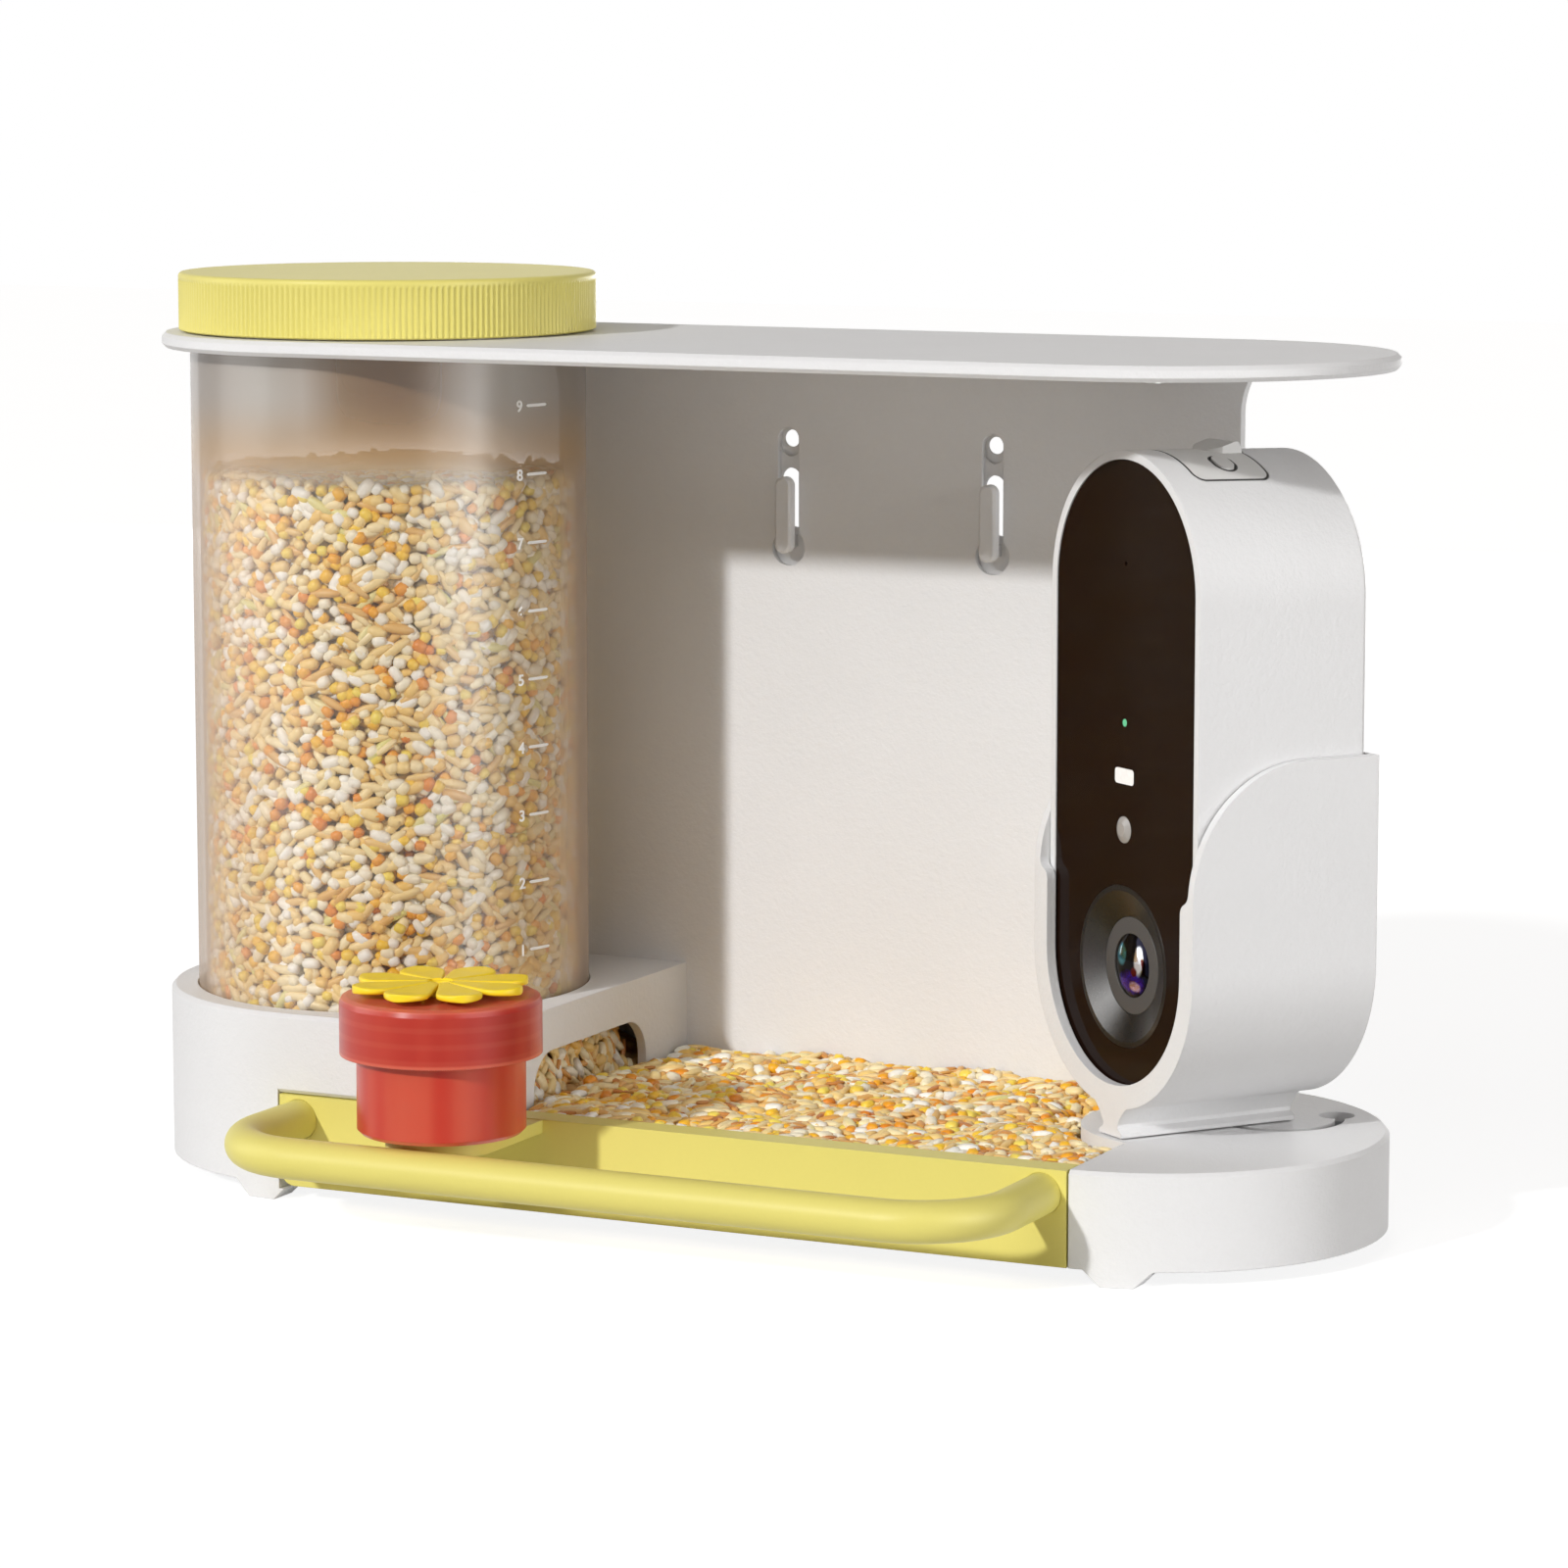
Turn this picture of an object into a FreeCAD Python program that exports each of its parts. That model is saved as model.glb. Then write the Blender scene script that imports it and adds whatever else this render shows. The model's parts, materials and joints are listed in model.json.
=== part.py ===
import FreeCAD, Part
import math
import os

import Sketcher
from FreeCAD import Placement, Rotation, Vector

# A bird feeder with a seed tube, a pull-out tray, a nectar cup and a swivelling camera.
# X runs along the base, Y to the back plate, Z up from the underside of the feet.

doc = FreeCAD.newDocument("bird_feeder")
sheet = doc.addObject("Spreadsheet::Sheet", "sizes")

XY = "XY_Plane"
XZ = "XZ_Plane"
YZ = "YZ_Plane"


class Size:
    """A length or an angle: its number and the formula that ties it to the sheet."""

    def __init__(self, number, formula):
        self.number = number
        self.formula = formula

    def __add__(self, other):
        other = as_size(other)
        return Size(self.number + other.number, f"({self.formula} + {other.formula})")

    __radd__ = __add__

    def __sub__(self, other):
        other = as_size(other)
        return Size(self.number - other.number, f"({self.formula} - {other.formula})")

    def __rsub__(self, other):
        return as_size(other) - self

    def __mul__(self, other):
        other = as_size(other)
        return Size(self.number * other.number, f"({self.formula} * {other.formula})")

    __rmul__ = __mul__

    def __truediv__(self, other):
        other = as_size(other)
        return Size(self.number / other.number, f"({self.formula} / {other.formula})")

    def __neg__(self):
        return self * -1


def as_size(value):
    """Take a plain number as a size without a sheet cell."""
    if isinstance(value, Size):
        return value
    return Size(float(value), f"({float(value)})")


def root(value):
    """Square root of a size."""
    return Size(math.sqrt(value.number), f"sqrt({value.formula})")


def leg(slant, side):
    """The other short side of a right triangle."""
    return root(as_size(slant) * slant - as_size(side) * side)


def cosine(angle):
    """Cosine of an angle in degrees."""
    return Size(math.cos(math.radians(angle.number)), f"cos({angle.formula} * 1deg)")


def sine(angle):
    """Sine of an angle in degrees."""
    return Size(math.sin(math.radians(angle.number)), f"sin({angle.formula} * 1deg)")


# Driving sizes in millimetres and degrees
SIZES = {
    # Base, tower and roof
    "end_spacing": 210,
    "end_margin": 7,
    "foot_rise": 4,
    "deck_rise": 23.3,
    "tower_rise": 43.3,
    "roof_rise": 18.7,
    "roof_thick": 3.8,
    "shell_wall": 2.4,
    "edge_round": 1,
    "left_foot": 111.5,
    "right_foot": 118.5,
    "foot_top": 16,
    "foot_bottom": 7.6,
    "foot_depth": 9,
    "bay_step": 2,
    "lobe_along": 12,
    "lobe_back": 7,
    "lobe_radius": 31,
    "arch_half": 30.5,
    "arch_head": 0.2,
    "arch_round": 10,
    "rail_depth": 7.4,
    "rail_rise": 14,
    "bench_gap": 0.5,
    "slide_gap": 0.5,
    # Back plate, its keyholes and the sliders in them
    "plate_width": 190,
    "plate_thick": 3,
    "flare_round": 19,
    "flare_rise": 14.5,
    "plate_fit": 0.1,
    "flange_depth": 11,
    "flange_thick": 2.8,
    "flange_clear": 4,
    "boss_height": 3,
    "boss_radius": 4,
    "key_spacing": 57,
    "key_middle": 10.1,
    "key_below": 24.6,
    "key_hole": 2.2,
    "key_slot": 5.8,
    "key_entry": 4.6,
    "key_drop": 28,
    "key_blind": 1.4,
    "key_bridge": 9.4,
    "key_skin": 0.8,
    "pit_height": 7.4,
    "lock_width": 4.6,
    "lock_height": 19.6,
    "lock_proud": 2.9,
    "lock_stand": 1,
    "lock_neck": 3.2,
    "lock_travel": 8,
    "lock_button": 5.4,
    "lock_bevel": 0.6,
    "screw_radius": 1.5,
    "screw_head": 2.9,
    "screw_head_thick": 1.6,
    "screw_fit": 0.06,
    "plate_screw_inset": 9.5,
    "roof_screw_inset": 10,
    # Seed tube, its cap and the seed
    "hopper_radius": 50,
    "hopper_wall": 2,
    "hopper_gap": 0.4,
    "hopper_seat": 8,
    "ledge_width": 5.4,
    "hopper_neck": 12,
    "cap_wall": 2.3,
    "cap_height": 15,
    "cap_chamfer": 1,
    "cap_gap": 0.4,
    "seal_thick": 1,
    "seed_rise": 175.5,
    "seed_gap": 0.35,
    "ramp_head": 2.9,
    "ramp_low": 7.6,
    # Tray, perch and nectar cup
    "fascia_thick": 3.4,
    "fascia_round": 4,
    "lip_width": 8,
    "tray_wall": 2,
    "tray_side": 9,
    "tray_seed_rise": 21.6,
    "heap_swell": 1.3,
    "heap_length": 46,
    "heap_depth": 38,
    "heap_step": 6,
    "perch_thick": 10,
    "perch_reach": 41.5,
    "perch_wall": 0.5,
    "perch_cover": 1.05,
    "perch_bend": 22,
    "cup_along": 45,
    "cup_out": 25.5,
    "cup_radius": 20.3,
    "cup_wall": 1.6,
    "cup_rise": 23.9,
    "cup_height": 30.5,
    "collar_step": 1.9,
    "cup_floor": 4.8,
    "tongue_radius": 13.6,
    "tongue_thick": 4.2,
    "spigot_radius": 6,
    "spigot_height": 3,
    "lid_wall": 1.7,
    "lid_rise": 43.1,
    "lid_top": 1.8,
    "lid_round": 1.8,
    "flower_radius": 21.6,
    "petal_half": 5.6,
    "petal_thick": 1.9,
    "flower_stand": 1.3,
    "flower_hub": 6,
    "port_radius": 2,
    # Camera and cradle, drawn about the pivot with the lens looking to -Y
    "camera_turn": 36,
    "pivot_along": 24.2,
    "pivot_back": 21.1,
    "pivot_radius": 3.2,
    "pivot_fit": 0.08,
    "slot_radius": 15.1,
    "slot_width": 2.4,
    "slot_from": -172,
    "slot_to": 22,
    "bulge_at": 38,
    "bulge_radius": 4.4,
    "foot_gap": 0.4,
    "foot_half": 5,
    "waist_half": 3.3,
    "sole_edge": 1,
    "washer_radius": 7.7,
    "washer_thick": 1,
    "cradle_front": 47.7,
    "cradle_wall": 2.3,
    "cradle_lip": 2.5,
    "cradle_rise": 30.4,
    "cradle_height": 85.9,
    "cradle_sweep": 32,
    "cradle_rear": 1.3,
    "lip_over": 0.9,
    "lip_rise": 53.5,
    "lip_blend": 5.2,
    "camera_fit": 0.3,
    "housing_half": 33,
    "housing_height": 154.3,
    "housing_depth": 47,
    "housing_fall": 1.1,
    "housing_bevel": 1.5,
    "housing_wall": 3.6,
    "rim_width": 2.2,
    "panel_fit": 0.1,
    "panel_sink": 0.3,
    "panel_thick": 1.8,
    "gasket_thick": 0.8,
    "lens_rise": 31.3,
    "bezel_radius": 19.4,
    "bezel_depth": 2.6,
    "bezel_thick": 1.2,
    "ring_radius": 11.8,
    "glass_radius": 7.6,
    "glass_dome": 1.4,
    "barrel_radius": 9,
    "sensor_rise": 32.9,
    "sensor_radius": 3.2,
    "sensor_rim": 1,
    "light_rise": 12.8,
    "light_width": 8.3,
    "light_height": 3.7,
    "status_rise": 12.8,
    "status_radius": 0.9,
    "mic_rise": 37.8,
    "mic_radius": 0.6,
    "mic_can": 3,
    "board_thick": 1.6,
    "board_margin": 0.8,
    "board_over": 13.4,
    "post_radius": 2.6,
    "post_inset": 6,
    "chip_margin": 3,
    "speaker_radius": 10.2,
    "speaker_thick": 5,
    "speaker_above": 8,
    "cell_radius": 9.2,
    "cell_length": 66,
    "cover_from": 15.9,
    "cover_to": 37.2,
    "cover_half": 19,
    "cover_round": 3,
    "cover_thick": 1.6,
    "cover_fit": 0.25,
    "button_out": 12,
    "button_at": 25.7,
    "button_wide": 6.2,
    "button_deep": 4.6,
    "button_proud": 0.3,
    "button_gap": 0.3,
    "button_well": 6,
    "usb_width": 9,
    "usb_deep": 3.4,
    "usb_tall": 7,
    "usb_wall": 0.5,
    "usb_sink": 1,
    "tab_half": 6,
    "tab_crest": 1.2,
    "tab_side": 5.7,
    "tab_long": 9,
    "tab_rise": 2.6,
}


class SizeSheet:
    """The sheet's cells as sizes, each read by its name."""

    def __init__(self, numbers):
        for row, (name, number) in enumerate(numbers.items(), 1):
            sheet.set(f"A{row}", name)
            sheet.set(f"B{row}", str(number))
            sheet.setAlias(f"B{row}", name)
            setattr(self, name, Size(float(number), f"sizes.{name}"))


size = SizeSheet(SIZES)
petal_count = 8
doc.recompute()

# Levels and places that follow from the driving sizes
half_span = size.end_spacing / 2
end_radius = size.hopper_radius + size.end_margin
cup_collar = size.cup_radius + size.collar_step
lid_bore = cup_collar + size.hopper_gap
lid_radius = lid_bore + size.lid_wall
forward = (size.cup_out + lid_radius) / 2
deck_top = size.foot_rise + size.deck_rise
deck_under = deck_top - size.shell_wall
tower_top = size.foot_rise + size.tower_rise
floor_top = size.foot_rise + size.shell_wall
tower_face = end_radius - half_span
bay_right = half_span + size.bay_step
lobe_x = half_span + size.lobe_along
plate_front = end_radius - size.plate_thick
rail_front = plate_front - size.rail_depth
rail_top = size.foot_rise + size.rail_rise
plate_right = size.key_middle + size.plate_width / 2
plate_left = size.key_middle - size.plate_width / 2
ledge_top = tower_top - size.hopper_seat
ledge_under = ledge_top - size.shell_wall
arch_top = ledge_under - size.arch_head
ramp_top = ledge_under - size.ramp_head
ramp_foot = floor_top + size.ramp_low
bore_radius = size.hopper_radius + size.hopper_gap
cap_radius = bore_radius + size.cap_wall
fascia_back = end_radius - size.fascia_thick
hollow_front = fascia_back - size.slide_gap - size.shell_wall
past = as_size(1)
far = size.end_spacing + end_radius
tray_left = -half_span - past + size.slide_gap
lip_top = deck_top - size.bench_gap / 2
perch_half = -tray_left - size.perch_wall - size.perch_thick / 2
perch_z = lip_top - size.perch_cover - size.perch_thick / 2
pivot_x = half_span + size.pivot_along
cradle_low = size.foot_rise + size.cradle_rise
cradle_top = cradle_low + size.cradle_height
cradle_half = size.housing_half + size.camera_fit + size.cradle_wall
housing_low = cradle_low + size.cradle_wall + size.camera_fit
housing_top = housing_low + size.housing_height
rim_front = size.cradle_front - size.cradle_lip - size.camera_fit
housing_back = size.housing_depth - rim_front
cradle_back = housing_back + size.camera_fit + size.cradle_rear
panel_front = rim_front - size.panel_sink
panel_back = panel_front - size.panel_thick
panel_half = size.housing_half - size.rim_width
lip_inner = panel_half - size.lip_over
cavity_half = size.housing_half - size.housing_wall
cavity_back = housing_back - size.housing_wall
cavity_low = housing_low + size.housing_wall
cavity_top = housing_top - size.housing_wall - size.housing_fall
dome_axis = housing_top - size.housing_half
lens_z = housing_low + size.lens_rise
sensor_z = lens_z + size.sensor_rise
light_z = sensor_z + size.light_rise
status_z = light_z + size.status_rise
mic_z = status_z + size.mic_rise
cell_back = cavity_back - size.camera_fit
board_back = cell_back - size.cell_radius * 2 - size.camera_fit
board_front = board_back - size.board_thick
board_half = leg(cavity_half, size.board_over) - size.board_margin
board_low = cavity_low + cavity_half - size.board_over
board_high = cavity_top - cavity_half + size.board_over
post_out = board_half - size.post_radius
roof_under = housing_top + size.roof_rise
roof_top = roof_under + size.roof_thick
hopper_top = roof_top + size.hopper_neck
key_z = roof_under - size.key_below
entry_z = key_z - size.key_drop
flange_top = roof_under - size.boss_height
flange_left = -half_span + size.hopper_radius + size.flange_clear
flange_right = plate_right - size.flange_depth
flange_line = plate_front - size.flange_depth / 2
ramp_start = -(half_span + end_radius)
ramp_drop = (ramp_top - ramp_foot) / (tower_face - ramp_start)
screw_line = size.foot_rise + size.rail_rise / 2 + size.shell_wall / 2
screw_bite = size.rail_depth - size.shell_wall


class Corner:
    """A corner of an outline and the way from it to the next one."""

    def __init__(self, x, y, radius=None, turn=1):
        self.x = as_size(x)
        self.y = as_size(y)
        self.radius = None if radius is None else as_size(radius)
        self.turn = turn

    @property
    def point(self):
        return Vector(self.x.number, self.y.number, 0)


class Disc:
    """A full circle in an outline."""

    def __init__(self, x, y, radius):
        self.x = as_size(x)
        self.y = as_size(y)
        self.radius = as_size(radius)


def at(x, y):
    """A corner with a straight way on."""
    return Corner(x, y)


def bend(x, y, radius):
    """A corner with an arc to the next one, turning left."""
    return Corner(x, y, radius, 1)


def dent(x, y, radius):
    """A corner with an arc to the next one, turning right."""
    return Corner(x, y, radius, -1)


def rect(x0, y0, x1, y1):
    """An upright rectangle."""
    return [at(x0, y0), at(x1, y0), at(x1, y1), at(x0, y1)]


def rounded(x0, y0, x1, y1, r):
    """An upright rectangle with equal round corners."""
    return [
        at(x0 + r, y0),
        bend(x1 - r, y0, r),
        at(x1, y0 + r),
        bend(x1, y1 - r, r),
        at(x1 - r, y1),
        bend(x0 + r, y1, r),
        at(x0, y1 - r),
        bend(x0, y0 + r, r),
    ]


def obround(half, r):
    """A long shape with round left and right ends."""
    return [
        at(-half, -r),
        bend(half, -r, r),
        bend(half + r, 0, r),
        at(half, r),
        bend(-half, r, r),
        bend(-half - r, 0, r),
    ]


def stadium(half, low, high, x=0):
    """An upright shape with round ends between two heights."""
    return [
        bend(x + half, high - half, half),
        bend(x, high, half),
        at(x - half, high - half),
        bend(x - half, low + half, half),
        bend(x, low, half),
        at(x + half, low + half),
    ]


def trough(half, low, high):
    """An upright shape with a round lower end and an open straight top."""
    return [
        at(half, high),
        at(-half, high),
        bend(-half, low + half, half),
        bend(0, low, half),
        at(half, low + half),
    ]


def tower_hollow(inset):
    """The room inside the tower, drawn in by an inset on every side."""
    r = end_radius - size.shell_wall - inset
    front = hollow_front - inset
    back = rail_front - inset
    right = tower_face - size.shell_wall - inset
    return [
        at(right, -front),
        at(right, back),
        bend(-half_span - leg(r, back), back, r),
        bend(-half_span - r, 0, r),
        at(-half_span - leg(r, front), -front),
    ]


def arc_between(here, there, radius, turn):
    """An arc of less than half a circle and the ends that lie at its two corners."""
    chord = there - here
    middle = (here + there) * 0.5
    side = Vector(-chord.y, chord.x, 0).normalize() * turn
    rise = math.sqrt(max(radius * radius - chord.Length * chord.Length / 4, 0.0))
    centre = middle + side * rise
    first = math.atan2(here.y - centre.y, here.x - centre.x)
    last = math.atan2(there.y - centre.y, there.x - centre.x)
    circle = Part.Circle(centre, Vector(0, 0, 1), radius)
    if turn > 0:
        return Part.ArcOfCircle(circle, first, last), (1, 2)
    return Part.ArcOfCircle(circle, last, first), (2, 1)


def draw_loop(sketch, corners):
    """Draw one closed outline and tie each corner and radius to its formula."""
    first = sketch.GeometryCount
    ends = []
    for index, corner in enumerate(corners):
        here = corner.point
        there = corners[(index + 1) % len(corners)].point
        if corner.radius is None:
            sketch.addGeometry(Part.LineSegment(here, there))
            ends.append((1, 2))
        else:
            arc, pair = arc_between(here, there, corner.radius.number, corner.turn)
            sketch.addGeometry(arc)
            ends.append(pair)
    rules = []
    formulas = []
    for index, corner in enumerate(corners):
        line = first + index
        before = first + (index - 1) % len(corners)
        start = ends[index][0]
        rules.append(Sketcher.Constraint("Coincident", before, ends[index - 1][1], line, start))
        formulas.append(None)
        rules.append(Sketcher.Constraint("DistanceX", -1, 1, line, start, corner.x.number))
        formulas.append(corner.x.formula)
        rules.append(Sketcher.Constraint("DistanceY", -1, 1, line, start, corner.y.number))
        formulas.append(corner.y.formula)
        if corner.radius is not None:
            rules.append(Sketcher.Constraint("Radius", line, corner.radius.number))
            formulas.append(corner.radius.formula)
    tie_rules(sketch, rules, formulas)


def draw_disc(sketch, disc):
    """Draw one circle and tie its middle and radius to their formulas."""
    middle = Vector(disc.x.number, disc.y.number, 0)
    line = sketch.addGeometry(Part.Circle(middle, Vector(0, 0, 1), disc.radius.number))
    rules = [
        Sketcher.Constraint("DistanceX", -1, 1, line, 3, disc.x.number),
        Sketcher.Constraint("DistanceY", -1, 1, line, 3, disc.y.number),
        Sketcher.Constraint("Radius", line, disc.radius.number),
    ]
    tie_rules(sketch, rules, [disc.x.formula, disc.y.formula, disc.radius.formula])


def tie_rules(sketch, rules, formulas):
    """Add constraints to a sketch and bind those that have a formula."""
    count = sketch.ConstraintCount
    sketch.addConstraint(rules)
    for offset, formula in enumerate(formulas):
        if formula is not None:
            sketch.setExpression(f"Constraints[{count + offset}]", formula)


def tie(item, name, value):
    """Bind one property of a document object to a size."""
    item.setExpression(name, as_size(value).formula)


class Piece:
    """One sub-part: a body whose features are drawn on its own origin planes."""

    def __init__(self, label):
        self.label = label
        self.body = doc.addObject("PartDesign::Body", f"{label}_body")

    def sketch(self, loops, plane, across=0, up=0, out=0):
        """Draw outlines on an origin plane moved by an offset."""
        sketch = self.body.newObject("Sketcher::SketchObject", f"{self.label}_outline")
        support = [f for f in self.body.Origin.OriginFeatures if f.Role == plane][0]
        sketch.AttachmentSupport = [(support, "")]
        sketch.MapMode = "FlatFace"
        tie(sketch, "AttachmentOffset.Base.x", across)
        tie(sketch, "AttachmentOffset.Base.y", up)
        tie(sketch, "AttachmentOffset.Base.z", out)
        for loop in loops:
            if isinstance(loop, Disc):
                draw_disc(sketch, loop)
            else:
                draw_loop(sketch, loop)
        return sketch

    def feature(self, kind, sketch):
        """Add a feature of the given kind over a sketch."""
        feature = self.body.newObject(f"PartDesign::{kind}", f"{self.label}_{kind.lower()}")
        feature.Profile = sketch
        self.body.Tip = feature
        return feature

    def pad(self, loops, plane, start, length):
        """Add material from start along the positive axis of the plane."""
        out = -(as_size(start) + length) if plane == XZ else start
        feature = self.feature("Pad", self.sketch(loops, plane, out=out))
        tie(feature, "Length", length)
        return feature

    def pocket(self, loops, plane, start, length):
        """Take material away from start along the positive axis of the plane."""
        out = -as_size(start) if plane == XZ else as_size(start) + length
        feature = self.feature("Pocket", self.sketch(loops, plane, out=out))
        tie(feature, "Length", length)
        return feature

    def turned(self, loops, x=0, y=0):
        """Add a shape turned about an upright axis, drawn as radius and height."""
        sketch = self.sketch(loops, XZ, across=x, out=-as_size(y))
        feature = self.feature("Revolution", sketch)
        feature.ReferenceAxis = (sketch, ["V_Axis"])
        feature.Angle = 360
        return feature

    def spun(self, loops, z):
        """Add a shape turned about a level axis along Y, drawn as depth and radius."""
        sketch = self.sketch(loops, YZ, up=z)
        feature = self.feature("Revolution", sketch)
        feature.ReferenceAxis = (sketch, ["H_Axis"])
        feature.Angle = 360
        return feature

    def bevel(self, amount, pick):
        """Bevel the edges that a test picks."""
        doc.recompute()
        last = self.body.Tip
        names = [f"Edge{i + 1}" for i, edge in enumerate(last.Shape.Edges) if pick(edge)]
        feature = self.body.newObject("PartDesign::Chamfer", f"{self.label}_bevel")
        feature.Base = (last, names)
        tie(feature, "Size", amount)
        self.body.Tip = feature
        return feature

    def loft(self, kind, front, front_y, back, back_y):
        """Add or take away a straight blend between two outlines at two depths."""
        first = self.sketch(front, XZ, out=-as_size(front_y))
        second = self.sketch(back, XZ, out=-as_size(back_y))
        feature = self.feature(f"{kind}Loft", first)
        feature.Sections = [second]
        feature.Ruled = True
        return feature


def heaped(seed, label, crest, left, front, right, back):
    """Heap the top of a block of seed: two crossing waves below the crest, as one curved face."""
    step = size.heap_step.number
    rows = int((back - front).number / step) + 2
    columns = int((right - left).number / step) + 2
    grid = []
    for row in range(rows):
        y = front.number + row * step
        line = []
        for column in range(columns):
            x = left.number + column * step
            line.append(Vector(x, y, crest.number - heap_fall(x, y)))
        grid.append(line)
    top = Part.BSplineSurface()
    top.interpolate(grid)
    heap = doc.addObject("Part::Feature", f"{label}_heap")
    heap.Shape = top.toShape().extrude(Vector(0, 0, -crest.number))
    return boolean("Common", label, seed.body, heap)


def heap_fall(x, y):
    """How far the heaped seed lies below its crest at a place in plan."""
    along = 2 * math.pi * x / size.heap_length.number
    across = 2 * math.pi * y / size.heap_depth.number
    return size.heap_swell.number * (1 - math.cos(along + across / 2) * math.cos(across))


finished = []


def finish(item, label):
    """Name a sub-part and set it in the feeder's frame, middle of the footprint at the origin."""
    item.Label = label
    tie(item, "Placement.Base.y", forward)
    finished.append(item)


def finish_camera(item, label):
    """Name a camera sub-part and set it on the pivot at the turned angle."""
    item.Label = label
    item.Placement = Placement(Vector(0, 0, 0), Rotation(Vector(0, 0, -1), size.camera_turn.number))
    tie(item, "Placement.Rotation.Angle", size.camera_turn)
    tie(item, "Placement.Base.x", pivot_x)
    tie(item, "Placement.Base.y", size.pivot_back + forward)
    finished.append(item)


def boolean(kind, label, base, tool):
    """Combine two shapes into one document object."""
    item = doc.addObject(f"Part::{kind}", f"{label}_{kind.lower()}")
    item.Base = base
    item.Tool = tool
    return item


def level_edge(edge, z):
    """Whether an edge lies flat at a height."""
    box = edge.BoundBox
    return abs(box.ZMin - z.number) < 1e-4 and abs(box.ZMax - z.number) < 1e-4


def upright_edge(edge, y):
    """Whether an edge lies in the upright plane at a depth."""
    box = edge.BoundBox
    return abs(box.YMin - y.number) < 1e-4 and abs(box.YMax - y.number) < 1e-4


def edge_middle(edge):
    """The point half way along an edge."""
    return edge.valueAt((edge.FirstParameter + edge.LastParameter) / 2)


def on_rim(edge):
    """Whether an edge lies on the obround outline of the base."""
    p = edge_middle(edge)
    reach = math.hypot(max(abs(p.x) - half_span.number, 0.0), p.y)
    return abs(reach - end_radius.number) < 1e-3


def foot_gap_outline(x0, x1):
    """The gap under the base between two slanted foot sides."""
    slant = (size.foot_top - size.foot_bottom) / 2
    return [at(x0 - slant, -past), at(x1 + slant, -past), at(x1 + slant, 0), at(x1, size.foot_rise),
            at(x0, size.foot_rise), at(x0 - slant, 0)]


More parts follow.
